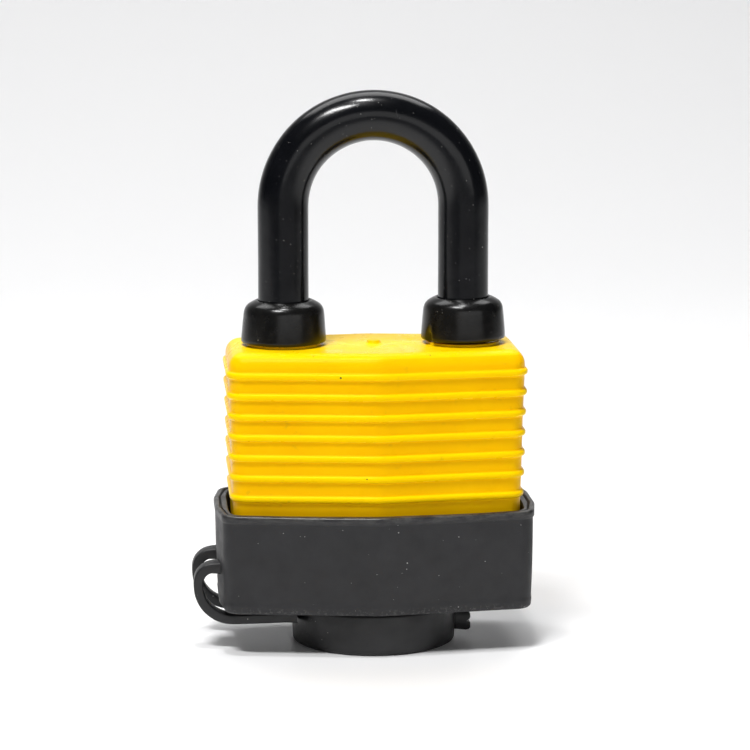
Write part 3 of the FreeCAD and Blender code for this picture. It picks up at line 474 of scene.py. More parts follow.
def make_skirt():
    shell = Shell()
    rings = []
    for height, inset in skirt_levels():
        rings.append(shell.ring(skirt_plan(*skirt_wall(height), inset), SKIRT_BOTTOM + height))
    for drop, inset in POCKET_PROFILE:
        rings.append(shell.ring(skirt_plan(*SKIRT_POCKET, inset), SKIRT_HIGH.z - drop))
    rings.append(shell.ring(skirt_plan(*SKIRT_POCKET), BODY_BOTTOM))
    shell.stack(rings)
    collar = [shell.ring(circle(radius), z) for radius, z in COLLAR_PROFILE]
    shell.stack(collar)
    shell.fill(rings[0], [collar[0]])
    shell.fill(rings[-1], [collar[-1]])
    made = shell.build("bumper_skirt", 50)
    bend_points(made, skirt_wave)
    return made


def skirt_wave(x, y, z):
    """The soft rim stands a little unevenly, and the long faces bow."""
    height = max(0.0, (z - SKIRT_BOTTOM) / (SKIRT_HIGH.z - SKIRT_BOTTOM))
    if height == 0.0:
        return Vector((0, 0, 0))
    side = 1 if y > 0 else -1
    bow = RIM_BOW * math.sin(0.23 * x + 0.6) * height * height
    dip = -RIM_DIP * (1 - math.cos(0.27 * x - 0.4)) / 2 * height**3
    return Vector((0, side * bow * min(1.0, abs(y) / 6), dip))


# ---------------------------------------------------------------------------------------------------------
# Keyway cap, straps and anchor

CAP_RADIUS = (CAP_HIGH.y - CAP_LOW.y) / 2
CAP_BORE = 11.2
CAP_FLOOR = 1.3
CAP_TOP = CAP_HIGH.z
CAP_POINTS = 120
# (radius, height), from the shallow dish underneath, up the wall, over the lip and down the bore.
CAP_PROFILE = (
    (9.2, 0.18), (9.5, 0.16), (9.7, 0.04), (9.95, 0.0), (CAP_RADIUS - 0.75, 0.0), (CAP_RADIUS - 0.42, 0.05),
    (CAP_RADIUS - 0.17, 0.2), (CAP_RADIUS - 0.05, 0.42), (CAP_RADIUS - 0.02, 0.8), (CAP_RADIUS, 2.4),
    (CAP_RADIUS - 0.03, 4.2), (CAP_RADIUS - 0.05, CAP_TOP - 0.5), (CAP_RADIUS - 0.12, CAP_TOP - 0.2),
    (CAP_RADIUS - 0.3, CAP_TOP - 0.04), (CAP_RADIUS - 0.5, CAP_TOP), (CAP_BORE + 0.3, CAP_TOP),
    (CAP_BORE + 0.08, CAP_TOP - 0.08), (CAP_BORE, CAP_TOP - 0.3), (CAP_BORE, CAP_FLOOR + 0.5),
    (CAP_BORE - 0.15, CAP_FLOOR + 0.15), (CAP_BORE - 0.5, CAP_FLOOR), (CAP_BORE - 1.2, CAP_FLOOR),
)
TAB_HALF_WIDTH = 1.5
TAB_LOW, TAB_HIGH = 1.1, 3.95
TAB_NOTCH = (TAB_LOW + TAB_HIGH) / 2 + 0.1
TAB_ROOT = CAP_RADIUS - 0.6
TAB_END = CAP_HIGH.x
# (x, z) round the tab as seen from the front.
TAB_PROFILE = (
    (TAB_ROOT, TAB_LOW + 0.25), (TAB_END - 0.75, TAB_LOW), (TAB_END - 0.25, TAB_LOW + 0.08),
    (TAB_END - 0.02, TAB_LOW + 0.35), (TAB_END, TAB_NOTCH - 0.45), (TAB_END - 0.12, TAB_NOTCH - 0.24),
    (TAB_END - 0.62, TAB_NOTCH - 0.12), (TAB_END - 0.7, TAB_NOTCH), (TAB_END - 0.62, TAB_NOTCH + 0.12),
    (TAB_END - 0.12, TAB_NOTCH + 0.26), (TAB_END, TAB_NOTCH + 0.5), (TAB_END - 0.05, TAB_HIGH - 0.3),
    (TAB_END - 0.35, TAB_HIGH), (TAB_ROOT, TAB_HIGH),
)
# (share of the half width, share of the profile's size): rounds the tab's two faces.
TAB_SLICES = ((-1.0, 0.9), (-0.93, 0.97), (-0.82, 1.0), (0.82, 1.0), (0.93, 0.97), (1.0, 0.9))


def make_cap():
    shell = Shell()
    shell.close([shell.ring(circle(radius, CAP_POINTS), z) for radius, z in CAP_PROFILE])
    return shell.build("keyway_cap_body", 50)


def make_cap_tab():
    """The pull tab: a short bar off the cap's wall with a notch across its end."""
    middle_x = sum(x for x, _ in TAB_PROFILE) / len(TAB_PROFILE)
    middle_z = sum(z for _, z in TAB_PROFILE) / len(TAB_PROFILE)
    shell = Shell()
    rings = []
    for y, shrink in TAB_SLICES:
        points = [
            (middle_x + (x - middle_x) * shrink, y * TAB_HALF_WIDTH, middle_z + (z - middle_z) * shrink)
            for x, z in TAB_PROFILE
        ]
        rings.append(shell.space_ring(points))
    shell.close(rings)
    return shell.build("cap_tab", 55)


STRAP_LINE_HALF = 0.8
STRAP_ROOT_DEPTH = 1.3
STRAP_STRAIGHT = 0.3
STRAP_LOWER_RADIUS = 5.2
STRAP_UPPER_STEPS, STRAP_LOWER_STEPS, STRAP_RUN_STEPS = 8, 16, 10
STRAP_RISE = 0.25
STRAP_HALF_WIDTH, STRAP_HALF_THICK = 1.42, 0.74
STRAP_ROUND = 0.28
# (side across, side through, angle in degrees where the corner's round begins)
STRAP_CORNERS = ((1, -1, -90), (1, 1, 0), (-1, 1, 90), (-1, -1, 180))


def strap_line(low, high):
    """The strap's middle line in (x, z): out of the anchor, round and down, and back under to the cap."""
    root_x, root_z = ANCHOR_LOW.x + STRAP_ROOT_DEPTH, high.z - STRAP_LINE_HALF
    outer_x, floor_z = low.x + STRAP_LINE_HALF, low.z + STRAP_LINE_HALF
    bend_x = ANCHOR_LOW.x - STRAP_STRAIGHT
    upper, lower = bend_x - outer_x, STRAP_LOWER_RADIUS
    points = [(root_x, root_z)]
    for i in range(STRAP_UPPER_STEPS + 1):
        angle = QUARTER_TURN * i / STRAP_UPPER_STEPS
        points.append((bend_x - upper * math.sin(angle), root_z - upper * (1 - math.cos(angle))))
    for i in range(STRAP_LOWER_STEPS + 1):
        angle = QUARTER_TURN * i / STRAP_LOWER_STEPS
        points.append((outer_x + lower * (1 - math.cos(angle)), floor_z + lower * (1 - math.sin(angle))))
    start, reach = outer_x + lower, -CAP_RADIUS + 0.35
    for i in range(1, STRAP_RUN_STEPS + 1):
        share = i / STRAP_RUN_STEPS
        points.append((start + (reach - start) * i / STRAP_RUN_STEPS, floor_z + STRAP_RISE * share**2))
    return points


def strap_section(ends):
    """(across, through) points round the strap, a number of steps from its nearer end."""
    half_width = STRAP_HALF_WIDTH + 0.3 * math.exp(-ends / 1.2)
    half_thick = STRAP_HALF_THICK + 0.14 * math.exp(-ends / 1.5)
    section = []
    for side, face, first in STRAP_CORNERS:
        for step in range(4):
            angle = math.radians(first + 30 * step)
            across = side * (half_width - STRAP_ROUND) + STRAP_ROUND * math.cos(angle)
            section.append((across, face * (half_thick - STRAP_ROUND) + STRAP_ROUND * math.sin(angle)))
    return section


def make_strap(node, name):
    """A flat rubber strap with rounded edges; it widens a little where it meets the anchor and the cap."""
    low, high = box_mm(node)
    line = strap_line(low, high)
    middle_y = (low.y + high.y) / 2
    shell = Shell()
    rings = []
    for i, (x, z) in enumerate(line):
        out = across_line(line, i)
        section = strap_section(min(i, len(line) - 1 - i))
        rings.append(shell.space_ring([(x + out.x * t, middle_y + w, z + out.y * t) for w, t in section]))
    shell.close(rings)
    return shell.build(name, 55)


# (how far behind the plate's front, inset from its edge): a rounded front edge.
ANCHOR_EDGE = ((0.4, 0.0), (0.2, 0.06), (0.05, 0.2), (0, 0.42))
ANCHOR_CORNER, ANCHOR_LEAST_CORNER = 0.7, 0.1


def make_anchor():
    """The moulded plate on the skirt's side that the straps leave from."""
    shell = Shell()
    back = ANCHOR_HIGH.x + 0.6
    front = ANCHOR_LOW.x + 0.7
    half_y = ANCHOR_HIGH.y - 0.4
    half_z = (ANCHOR_HIGH.z - ANCHOR_LOW.z) / 2
    middle_z = ANCHOR_LOW.z + half_z
    rings = []
    for x, inset in [(back, 0.0)] + [(front + depth, inset) for depth, inset in ANCHOR_EDGE]:
        w, h = half_y - inset, half_z - inset
        corner = max(ANCHOR_LEAST_CORNER, ANCHOR_CORNER - inset)
        corners = [(w, -h, corner), (w, h, corner), (-w, h, corner), (-w, -h, corner)]
        plan = rounded_plan(corners, arc_steps=5, run_steps=3)
        rings.append(shell.space_ring([(x, p.x, middle_z + p.y) for p in plan]))
    shell.close(rings)
    return shell.build("anchor_plate", 50)


# ---------------------------------------------------------------------------------------------------------
# Shackle sleeve and seals


LEG_STEPS, ARCH_STEPS, SLEEVE_POINTS = 24, 64, 48


def sleeve_line():
    """The loop's middle line in (x, z): up one leg, over the arch and down the other."""
    bottom = SLEEVE_LOW.z
    line = [(-LEG_X, bottom + (ARCH_Z - bottom) * i / LEG_STEPS) for i in range(LEG_STEPS)]
    for i in range(ARCH_STEPS + 1):
        angle = math.pi * (1 - i / ARCH_STEPS)
        line.append((LEG_X * math.cos(angle), ARCH_Z + LEG_X * math.sin(angle)))
    return line + [(LEG_X, ARCH_Z + (bottom - ARCH_Z) * i / LEG_STEPS) for i in range(1, LEG_STEPS + 1)]


def sleeve_ring(shell, line, index, radius):
    """A ring round the line, slightly out of round."""
    x, z = line[index]
    out = across_line(line, index)
    points = []
    for k in range(SLEEVE_POINTS):
        angle = math.tau * k / SLEEVE_POINTS
        uneven = 0.004 * math.sin(2 * angle + index * 0.07) + 0.0025 * math.sin(index * 0.31)
        reach = radius * (1 + uneven)
        away = reach * math.cos(angle)
        points.append((x + out.x * away, reach * math.sin(angle), z + out.y * away))
    return shell.space_ring(points)


def make_sleeve():
    """The vinyl sleeve: a tube over the shackle's loop, with a hand-pushed unevenness."""
    shell = Shell()
    line = sleeve_line()
    outer = [sleeve_ring(shell, line, index, SLEEVE_RADIUS - 0.03) for index in range(len(line))]
    inner = [sleeve_ring(shell, line, index, SHACKLE_RADIUS + 0.02) for index in range(len(line))]
    shell.stack(outer)
    shell.stack(inner)
    shell.join(outer[0], inner[0])
    shell.join(outer[-1], inner[-1])
    return shell.build("sleeve_skin", 50)


# (radius, height), up the wall, over the shoulder and in to the sleeve.
SEAL_PROFILE = (
    (6.1, 0.0), (6.28, 0.06), (6.36, 0.22), (6.35, 0.6), (6.28, 1.6), (6.17, 2.9), (6.05, 4.2), (5.98, 4.75),
    (5.86, 5.15), (5.68, 5.5), (5.42, 5.78), (5.08, 6.02), (4.7, 6.24), (4.42, 6.38), (4.24, 6.45),
    (4.1, 6.42), (3.98, 6.32), (3.86, 6.1),
)
# (gap to the sleeve, height), down the bore and out to the foot.
SEAL_BORE_PROFILE = ((0.02, 5.9), (0.02, 0.3), (0.4, 0.05))
SEAL_POINTS = 144
# How far a seal has settled, as a share of its height.
SEAL_SETTLE = 0.015
NICK_DEPTH, NICK_HEIGHT = 1.2, 1.3
NICK_ANGLE_WIDTH = 0.075
NICK_LEAST_RADIUS = 5.5


def nick_cut(angle, height, nick_angle):
    """How deep the torn nick cuts into the seal's foot."""
    away = abs((angle - nick_angle + math.pi) % math.tau - math.pi)
    return NICK_DEPTH * math.exp(-((away / NICK_ANGLE_WIDTH) ** 2)) * (1 - height / NICK_HEIGHT)


def make_seal(node, name, tilt, lean, nick_angle=None, seed=0):
    """A soft boot: slightly tilted, not quite round, with a flash nick on one of them."""
    low, high = box_mm(node)
    centre_x = (low.x + high.x) / 2
    chance = random.Random(SEED + seed)
    phases = [chance.uniform(0, math.tau) for _ in range(3)]
    shell = Shell()
    rings = []
    for radius, height in SEAL_PROFILE:
        share = height / (high.z - low.z)
        nicked = nick_angle is not None and height < NICK_HEIGHT and radius > NICK_LEAST_RADIUS
        points = []
        for i in range(SEAL_POINTS):
            angle = math.tau * i / SEAL_POINTS
            uneven = 0.05 * math.sin(2 * angle + phases[0]) + 0.03 * math.sin(3 * angle + phases[1])
            reach = radius + uneven * min(1.0, (radius - SLEEVE_RADIUS) / 1.5)
            if nicked:
                reach -= nick_cut(angle, height, nick_angle)
            x = reach * math.cos(angle)
            foot = 0.03 * math.sin(angle + phases[2]) + 0.03
            z = low.z + height * (1 - SEAL_SETTLE) + foot * (1 - share) + tilt * (x + radius)
            points.append((centre_x + (x + lean * share), reach * math.sin(angle), z))
        rings.append(shell.space_ring(points))
    for gap, height in SEAL_BORE_PROFILE:
        rings.append(shell.ring(circle(SLEEVE_RADIUS + gap, SEAL_POINTS, centre_x), low.z + height))
    shell.stack(rings + [rings[0]])
    return shell.build(name, 50)


# ---------------------------------------------------------------------------------------------------------
# Dog spring

SPRING_WIRE = 0.16
SPRING_TURNS = 11.5
SPRING_TURN_STEPS = 24
WIRE_POINTS = 8


def make_dog_spring():
    """The helical spring between the dogs, along X."""
    low, high = box_mm("dog_spring")
    coil_radius = (high.y - low.y) / 2 - SPRING_WIRE
    middle_y, middle_z = (low.y + high.y) / 2, (low.z + high.z) / 2
    start, end = low.x + SPRING_WIRE, high.x - SPRING_WIRE
    steps = round(SPRING_TURNS * SPRING_TURN_STEPS)
    shell = Shell()
    rings = []
    for i in range(steps + 1):
        angle = math.tau * SPRING_TURNS * i / steps
        out = Vector((0, math.cos(angle), math.sin(angle)))
        centre = Vector((start + (end - start) * i / steps, middle_y, middle_z)) + out * coil_radius
        ring = []
        for k in range(WIRE_POINTS):
            turn = math.tau * k / WIRE_POINTS
            ring.append(centre + (out * math.cos(turn) + Vector((1, 0, 0)) * math.sin(turn)) * SPRING_WIRE)
        rings.append(shell.space_ring(ring))
    shell.close(rings)
    return shell.build("dog_coil", 60)


# ---------------------------------------------------------------------------------------------------------
# Materials


class Paint:
    """One procedural material; its textures use object coordinates in metres."""

    def __init__(self, name, **surface):
        self.material = bpy.data.materials.new(name)
        self.material.use_nodes = True
        self.tree = self.material.node_tree
        self.shader = self.tree.nodes["Principled BSDF"]
        self.place = self.tree.nodes.new("ShaderNodeTexCoord").outputs["Object"]
        for socket, setting in surface.items():
            self.shader.inputs[socket.replace("_", " ")].default_value = setting

    def node(self, kind, **settings):
        made = self.tree.nodes.new(kind)
        for name, setting in settings.items():
            setattr(made, name, setting)
        return made

    def link(self, output, target):
        self.tree.links.new(output, target)

    def stretched(self, x, y, z):
        """Coordinates scaled along each axis; a small scale draws a texture out."""
        node = self.node("ShaderNodeMapping")
        node.inputs["Scale"].default_value = (x, y, z)
        self.link(self.place, node.inputs["Vector"])
        return node.outputs["Vector"]

    def noise(self, scale, detail=3.0, roughness=0.5, place=None, distortion=0.0):
        node = self.node("ShaderNodeTexNoise")
        node.inputs["Scale"].default_value = scale
        node.inputs["Detail"].default_value = detail
        node.inputs["Roughness"].default_value = roughness
        node.inputs["Distortion"].default_value = distortion
        self.link(place or self.place, node.inputs["Vector"])
        return node.outputs["Fac"]

    def ramp(self, value, low, high, start=0.0, end=1.0):
        """Maps low..high of a value to start..end, clamped."""
        node = self.node("ShaderNodeMapRange")
        for name, number in (("From Min", low), ("From Max", high), ("To Min", start), ("To Max", end)):
            node.inputs[name].default_value = number
        self.link(value, node.inputs["Value"])
        return node.outputs["Result"]

    def cloud(self, scale, detail, low, high, start=0.0, end=1.0):
        """Soft noise, its low..high mapped to start..end."""
        return self.ramp(self.noise(scale, detail), low, high, start, end)

    def math(self, operation, *values):
        """A sum on numbers or sockets."""
        node = self.node("ShaderNodeMath", operation=operation)
        for index, value in enumerate(values):
            if isinstance(value, (int, float)):
                node.inputs[index].default_value = value
            else:
                self.link(value, node.inputs[index])
        return node.outputs["Value"]

    def specks(self, scale, size, share):
        """Sparse round specks: cells of 1/scale metres, of which only a share holds one."""
        node = self.node("ShaderNodeTexVoronoi")
        node.inputs["Scale"].default_value = scale
        self.link(self.place, node.inputs["Vector"])
        split = self.node("ShaderNodeSeparateColor")
        self.link(node.outputs["Color"], split.inputs["Color"])
        near = self.ramp(node.outputs["Distance"], size * 0.6, size, 1.0, 0.0)
        chosen = self.ramp(split.outputs["Red"], 1 - share, 1 - share * 0.7)
        return self.times(near, chosen)

    def times(self, one, other):
        return self.math("MULTIPLY", one, other)

    def dust(self, coarse, fine):
        """Two sizes of specks, each (scale, size, share)."""
        return self.math("MAXIMUM", self.specks(*coarse), self.specks(*fine))

    def along(self, axis):
        """The place along X, Y or Z, in metres."""
        node = self.node("ShaderNodeSeparateXYZ")
        self.link(self.place, node.inputs["Vector"])
        return node.outputs[axis]

    def colour(self, factor, one, other):
        """Mixes two colours; either may be a socket."""
        node = self.node("ShaderNodeMix", data_type="RGBA")
        self.link(factor, node.inputs["Factor"])
        for name, value in (("A", one), ("B", other)):
            socket = [s for s in node.inputs if s.name == name and s.type == "RGBA"][0]
            if isinstance(value, tuple):
                socket.default_value = (*value, 1.0)
            else:
                self.link(value, socket)
        return [s for s in node.outputs if s.type == "RGBA"][0]

    def bump(self, height, distance, strength=1.0, under=None):
        node = self.node("ShaderNodeBump")
        node.inputs["Strength"].default_value = strength
        node.inputs["Distance"].default_value = distance
        self.link(height, node.inputs["Height"])
        if under is not None:
            self.link(under, node.inputs["Normal"])
        return node.outputs["Normal"]

    def relief(self, grain, wave):
        """A fine grain on a slow wave, each (scale, detail, depth, strength)."""
        normal = None
        for scale, detail, depth, strength in (grain, wave):
            normal = self.bump(self.noise(scale, detail), depth, strength, normal)
        return normal

    def set(self, **sockets):
        """Links outputs to the shader's sockets, and returns the finished material."""
        for name, output in sockets.items():
            self.link(output, self.shader.inputs[name.replace("_", " ")])
        return self.material


def yellow_plastic():
    """Soft yellow with a painted highlight on the ribs (a paler yellow there), faint grime, dark dots and
    scratches along the ribs.
    """
    paint = Paint(
        "cover_yellow",
        IOR=1.42,
        Specular_IOR_Level=0.16,
        Specular_Tint=(1.0, 0.85, 0.15, 1.0),
        Subsurface_Weight=0.12,
        Subsurface_Radius=(0.002, 0.0011, 0.0002),
        Subsurface_Scale=0.6,
    )
    cloud = paint.noise(110, 3)
    wall = paint.colour(paint.ramp(cloud, 0.35, 0.7), (0.97, 0.545, 0.0008), (0.93, 0.5, 0.0006))
    from_rib = paint.math("ADD", paint.along("Z"), RIB_FIRST_DROP * MM - COVER_TOP * MM)
    # Painted highlight: the ribs get a paler yellow, as where they would catch the light.
    painted_rib_highlight = paint.ramp(paint.math("COSINE", paint.times(from_rib, RIB_TURN)), 0.5, 0.66)
    base = paint.colour(paint.times(painted_rib_highlight, 0.8), wall, (1.0, 0.66, 0.0008))
    grime = paint.times(paint.cloud(900, 4, 0.62, 0.75), paint.ramp(cloud, 0.45, 0.65))
    dirty = paint.colour(paint.times(grime, 0.35), base, (0.55, 0.34, 0.02))
    spotted = paint.colour(paint.specks(520, 0.1, 0.06), dirty, (0.10, 0.07, 0.02))
    scratch = paint.ramp(paint.noise(420, 2, place=paint.stretched(1, 1, 14), distortion=0.4), 0.66, 0.72)
    rough = paint.math("ADD", paint.cloud(300, 3, 0.3, 0.75, 0.24, 0.38), paint.times(scratch, 0.12))
    normal = paint.relief((2600, 3, 0.00002, 0.5), (160, 2, 0.00025, 0.35))
    return paint.set(Base_Color=spotted, Roughness=rough, Normal=normal)


def black_vinyl():
    """Glossy black with fine pale dust and a few scuffs along the loop."""
    paint = Paint("sleeve_vinyl", IOR=1.46, Specular_IOR_Level=0.4)
    base = paint.colour(paint.cloud(240, 3, 0.3, 0.7), (0.002, 0.0023, 0.0032), (0.0038, 0.0042, 0.0055))
    dust = paint.dust((800, 0.07, 0.3), (1900, 0.1, 0.25))
    scuff = paint.ramp(paint.noise(700, 4, 0.65, paint.stretched(1, 1, 0.25)), 0.68, 0.78)
    marked = paint.colour(paint.times(scuff, 0.25), base, (0.10, 0.10, 0.105))
    dusty = paint.colour(dust, marked, (0.36, 0.35, 0.33))
    rough = paint.math("ADD", paint.cloud(380, 3, 0.3, 0.7, 0.16, 0.22), paint.times(dust, 0.3))
    normal = paint.relief((5200, 2, 0.00001, 0.6), (230, 2, 0.00016, 0.3))
    return paint.set(Base_Color=dusty, Roughness=rough, Normal=normal)


def seal_rubber():
    """Dark rubber with a soft gloss and dust."""
    paint = Paint("seal_rubber", IOR=1.46, Specular_IOR_Level=0.4)
    base = paint.colour(paint.cloud(420, 4, 0.35, 0.7), (0.004, 0.004, 0.0042), (0.008, 0.0078, 0.0075))
    dust = paint.dust((800, 0.1, 0.16), (1500, 0.11, 0.1))
    dusty = paint.colour(paint.times(dust, 0.75), base, (0.30, 0.29, 0.27))
    rough = paint.cloud(700, 4, 0.3, 0.72, 0.18, 0.3)
    normal = paint.relief((3600, 3, 0.00001, 0.5), (300, 2, 0.00005, 0.3))
    return paint.set(Base_Color=dusty, Roughness=rough, Normal=normal)


def skirt_rubber():
    """Matte black with a scuffed, paler rim and a faintly whitened lower edge."""
    paint = Paint("skirt_black", IOR=1.46)
    base = paint.colour(paint.cloud(180, 4, 0.3, 0.72), (0.0085, 0.0085, 0.0098), (0.0135, 0.0135, 0.0155))
    height = paint.along("Z")
    rim = paint.ramp(height, (SKIRT_HIGH.z - 1.35) * MM, (SKIRT_HIGH.z - 0.25) * MM)
    worn = paint.times(rim, paint.ramp(paint.noise(420, 5, 0.7, paint.stretched(1, 1, 3)), 0.4, 0.7))
    foot = paint.ramp(height, (SKIRT_BOTTOM + 1.3) * MM, (SKIRT_BOTTOM + 0.5) * MM)
    chafed = paint.times(foot, paint.ramp(paint.noise(1900, 5, 0.7), 0.52, 0.7))
    edges = paint.math("MAXIMUM", paint.times(worn, 0.4), paint.times(chafed, 0.4))
    frosted = paint.colour(edges, base, (0.17, 0.165, 0.155))
    dusty = paint.colour(paint.dust((760, 0.09, 0.1), (1600, 0.11, 0.07)), frosted, (0.32, 0.31, 0.30))
    rough = paint.math("SUBTRACT", paint.cloud(500, 4, 0.3, 0.7, 0.50, 0.62), paint.times(rim, 0.2))
    normal = paint.relief((4200, 3, 0.00003, 0.8), (260, 3, 0.00018, 0.35))
    return paint.set(Base_Color=dusty, Roughness=rough, Normal=normal)


def cap_rubber():
    """Black rubber, a little smoother than the skirt, with dust."""
    paint = Paint("cap_black", IOR=1.48)
    base = paint.colour(paint.cloud(260, 4, 0.3, 0.7), (0.004, 0.004, 0.0046), (0.008, 0.008, 0.009))
    dusty = paint.colour(paint.dust((820, 0.09, 0.1), (1700, 0.11, 0.06)), base, (0.30, 0.29, 0.28))
    rough = paint.cloud(600, 4, 0.3, 0.7, 0.4, 0.54)
    normal = paint.relief((3900, 3, 0.00002, 0.7), (330, 3, 0.00012, 0.4))
    return paint.set(Base_Color=dusty, Roughness=rough, Normal=normal)


# Per metal: light and dark colour, lowest and highest roughness, the grain's stretch, the grain's depth.
METALS = {
    "shackle_steel": ((0.62, 0.62, 0.63), (0.5, 0.5, 0.51), (0.2, 0.38), (1, 1, 0.1), 0.00001),
    "plate_steel": ((0.55, 0.55, 0.56), (0.42, 0.42, 0.43), (0.32, 0.5), (0.08, 1, 1), 0.00001),
    "rivet_steel": ((0.6, 0.6, 0.61), (0.47, 0.47, 0.48), (0.28, 0.45), (1, 1, 0.3), 0.00001),
    "cylinder_brass": ((0.80, 0.60, 0.30), (0.62, 0.44, 0.19), (0.22, 0.4), (1, 1, 0.15), 0.00001),
    "pin_brass": ((0.84, 0.66, 0.36), (0.70, 0.52, 0.25), (0.18, 0.34), (1, 0.2, 1), 0.000006),
    "mechanism_steel": ((0.48, 0.48, 0.48), (0.36, 0.36, 0.36), (0.38, 0.58), (1, 1, 1), 0.00002),
    "spring_steel": ((0.66, 0.66, 0.68), (0.55, 0.55, 0.57), (0.15, 0.3), (1, 1, 0.3), 0.000006),
}
STAIN_SHADE = 0.45


def metal(name, light, dark, roughness, stretch, grain_depth):
    """Brushed or machined metal: grain along one direction, cloudy tone and small stains."""
    paint = Paint(name, Metallic=1.0)
    grain = paint.noise(900, 4, 0.6, paint.stretched(*stretch))
    tone = paint.colour(paint.cloud(150, 3, 0.3, 0.7), light, dark)
    stain = paint.ramp(paint.noise(520, 4, 0.6), 0.6, 0.78)
    stained = paint.colour(paint.times(stain, 0.5), tone, tuple(STAIN_SHADE * part for part in dark))
    rough = paint.ramp(grain, 0.25, 0.75, *roughness)
    return paint.set(Base_Color=stained, Roughness=rough, Normal=paint.bump(grain, grain_depth, 0.6))


def make_materials():
    """Every material by the name of its slot."""
    made = {
        "cover_yellow": yellow_plastic(),
        "sleeve_vinyl": black_vinyl(),
        "seal_rubber": seal_rubber(),
        "skirt_black": skirt_rubber(),
        "cap_black": cap_rubber(),
    }
    made.update({name: metal(name, *looks) for name, looks in METALS.items()})
    return made


def paint_with(made, slot_name):
    made.data.materials.clear()
    made.data.materials.append(materials[slot_name])


# ---------------------------------------------------------------------------------------------------------
# Assembly

CAD_SHARP_ANGLE = 35
TOE_SEAL_TILT = 0.012
HEEL_SEAL_LEAN = 0.12
NICK_ANGLE = math.radians(209)


def place(made, body, slot_name, *nodes):
    """Rides a piece on its body, gives it its finish, and hides the CAD nodes it stands for."""
    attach(made, body)
    paint_with(made, slot_name)
    if nodes:
        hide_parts(*nodes)


def place_strap(node, name):
    """A strap in place of its CAD node, fixed where it rests and carried by neither body."""
    strap = make_strap(node, name)
    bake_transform(strap)
    paint_with(strap, "cap_black")
    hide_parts(node)


def place_dog_spring():
    """The helical spring between the dogs, riding on the lock's body with a mesh of its own."""
    spring = make_dog_spring()
    place(spring, "lock_body", "spring_steel", "dog_spring")
    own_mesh(spring)


materials = make_materials()
for part in frame["record"]["subparts"]:
    carried = frame["nodes"][part["node"]]
    paint_with(carried, part["material_slot"])
    carried.data.shade_smooth()
    carried.data.set_sharp_from_angle(angle=math.radians(CAD_SHARP_ANGLE))

place(make_cover(), "lock_body", "cover_yellow", "top_cover")
place(make_gate_mark(), "lock_body", "cover_yellow")
place(make_skirt(), "lock_body", "skirt_black", "skirt")
place(make_anchor(), "lock_body", "cap_black", "cap_anchor")
place(make_cap(), "cap", "cap_black", "keyway_cap")
place(make_cap_tab(), "cap", "cap_black")
place_strap("cap_strap_front", "front_strap")
place_strap("cap_strap_rear", "rear_strap")
place_dog_spring()
place(make_sleeve(), "shackle_group", "sleeve_vinyl", "shackle_sleeve")
heel_boot = make_seal("heel_seal", "heel_boot", 0.0, HEEL_SEAL_LEAN, seed=1)
toe_boot = make_seal("toe_seal", "toe_boot", TOE_SEAL_TILT, 0.0, nick_angle=NICK_ANGLE, seed=2)
place(heel_boot, "shackle_group", "seal_rubber", "heel_seal")
place(toe_boot, "shackle_group", "seal_rubber", "toe_seal")


# ---------------------------------------------------------------------------------------------------------
# Floor, backdrop, light and camera

# In metres. The floor darkens between these two places along Y, well in front of the lock: painted shade,
# which keeps what the lock reflects from the front dark.
PAINTED_SHADE_START, PAINTED_SHADE_END = -0.13, -0.3
SWEEP_HALF_WIDTH, SWEEP_FRONT, SWEEP_BACK = 3.5, -1.6, 1.1
SWEEP_RISE, SWEEP_RADIUS, SWEEP_STEPS = 1.6, 0.7, 24
WORLD_STRENGTH = 0.03
# (name, azimuth, elevation, distance, width and height, power)
LIGHTS = (
    ("key", -32, 60, 0.75, (0.24, 0.1), 4.7),
    ("overhead", -10, 80, 0.8, (0.08, 0.08), 2.4),
    ("fill", 14, 12, 1.1, (1.5, 0.44), 2.3),
    ("backdrop", 180, 62, 1.0, (1.2, 0.5), 6.4),
)
CAMERA_PLACE = Vector((-36.7, -450.4, 113.9))
CAMERA_TURN, CAMERA_TILT = -4.69, 9.198
CAMERA_LENS = 144.9


def studio_paint():
    """White paper round the lock and behind it, running out to painted shade, a dark grey, on the floor well
    in front.
    """
    paint = Paint("studio_white")
    white = paint.colour(paint.noise(3, 2), (0.93, 0.93, 0.935), (0.916, 0.916, 0.92))
    # Painted shade: the floor well in front turns dark grey so the lock's reflections of it stay dark.
    painted_shade = paint.ramp(paint.along("Y"), PAINTED_SHADE_START, PAINTED_SHADE_END)
    base = paint.colour(painted_shade, white, (0.11, 0.11, 0.115))
    rough = paint.cloud(6, 2, 0.3, 0.7, 0.35, 0.41)
    return paint.set(Base_Color=base, Roughness=rough)


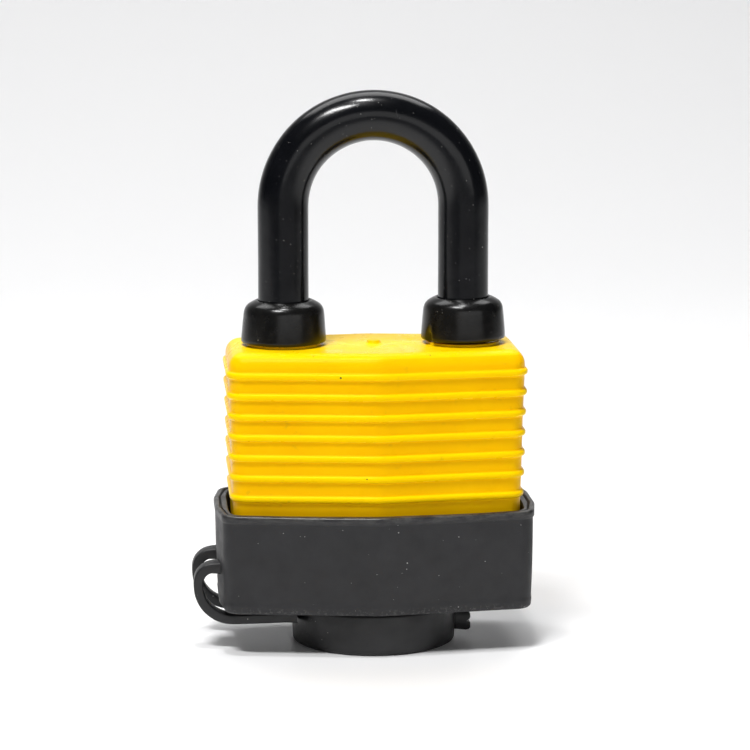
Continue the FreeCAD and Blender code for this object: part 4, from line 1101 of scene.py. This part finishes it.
def make_sweep():
    """A pale floor that curves up into a backdrop."""
    bend = SWEEP_BACK - SWEEP_RADIUS
    line = [(SWEEP_FRONT, 0.0), (bend, 0.0)]
    for i in range(1, SWEEP_STEPS + 1):
        angle = QUARTER_TURN * i / SWEEP_STEPS
        line.append((bend + SWEEP_RADIUS * math.sin(angle), SWEEP_RADIUS * (1 - math.cos(angle))))
    line.append((SWEEP_BACK, SWEEP_RISE))
    points = [(side * SWEEP_HALF_WIDTH, y, z) for y, z in line for side in (-1, 1)]
    faces = [(2 * i, 2 * i + 1, 2 * i + 3, 2 * i + 2) for i in range(len(line) - 1)]
    mesh = bpy.data.meshes.new("sweep")
    mesh.from_pydata(points, [], faces)
    sweep = finish_mesh(mesh, "sweep", 60)
    sweep.data.materials.append(studio_paint())


def add_light(name, azimuth, elevation, distance, size, power):
    """A rectangular softbox aimed at the lock's middle; azimuth 0 is in front and 90 on the right."""
    data = bpy.data.lights.new(name, "AREA")
    data.shape = "RECTANGLE"
    data.size, data.size_y = size
    data.energy = power
    light = bpy.data.objects.new(name, data)
    a, e = math.radians(azimuth), math.radians(elevation)
    away = Vector((math.sin(a) * math.cos(e), -math.cos(a) * math.cos(e), math.sin(e)))
    target = (CAD_LOW + CAD_HIGH) / 2
    light.location = target + away * distance
    light.rotation_mode = "QUATERNION"
    light.rotation_quaternion = away.to_track_quat("Z", "Y")
    bpy.context.scene.collection.objects.link(light)


def make_world():
    """A nearly dark room round the softboxes."""
    world = bpy.data.worlds.new("studio")
    world.use_nodes = True
    background = world.node_tree.nodes["Background"]
    background.inputs["Color"].default_value = (1.0, 1.0, 1.01, 1)
    background.inputs["Strength"].default_value = WORLD_STRENGTH
    bpy.context.scene.world = world


def make_camera():
    data = bpy.data.cameras.new("camera")
    data.sensor_width = 36.0
    data.lens = CAMERA_LENS
    data.clip_start = 0.01
    data.clip_end = 20.0
    camera = bpy.data.objects.new("camera", data)
    camera.location = CAMERA_PLACE * MM
    turn = Matrix.Rotation(math.radians(CAMERA_TURN), 4, "Z")
    tilt = Matrix.Rotation(math.radians(90 - CAMERA_TILT), 4, "X")
    camera.rotation_mode = "QUATERNION"
    camera.rotation_quaternion = (turn @ tilt).to_quaternion()
    bpy.context.scene.collection.objects.link(camera)
    bpy.context.scene.camera = camera


make_sweep()
make_world()
for light in LIGHTS:
    add_light(*light)
make_camera()
bpy.context.scene.view_settings.view_transform = "Standard"
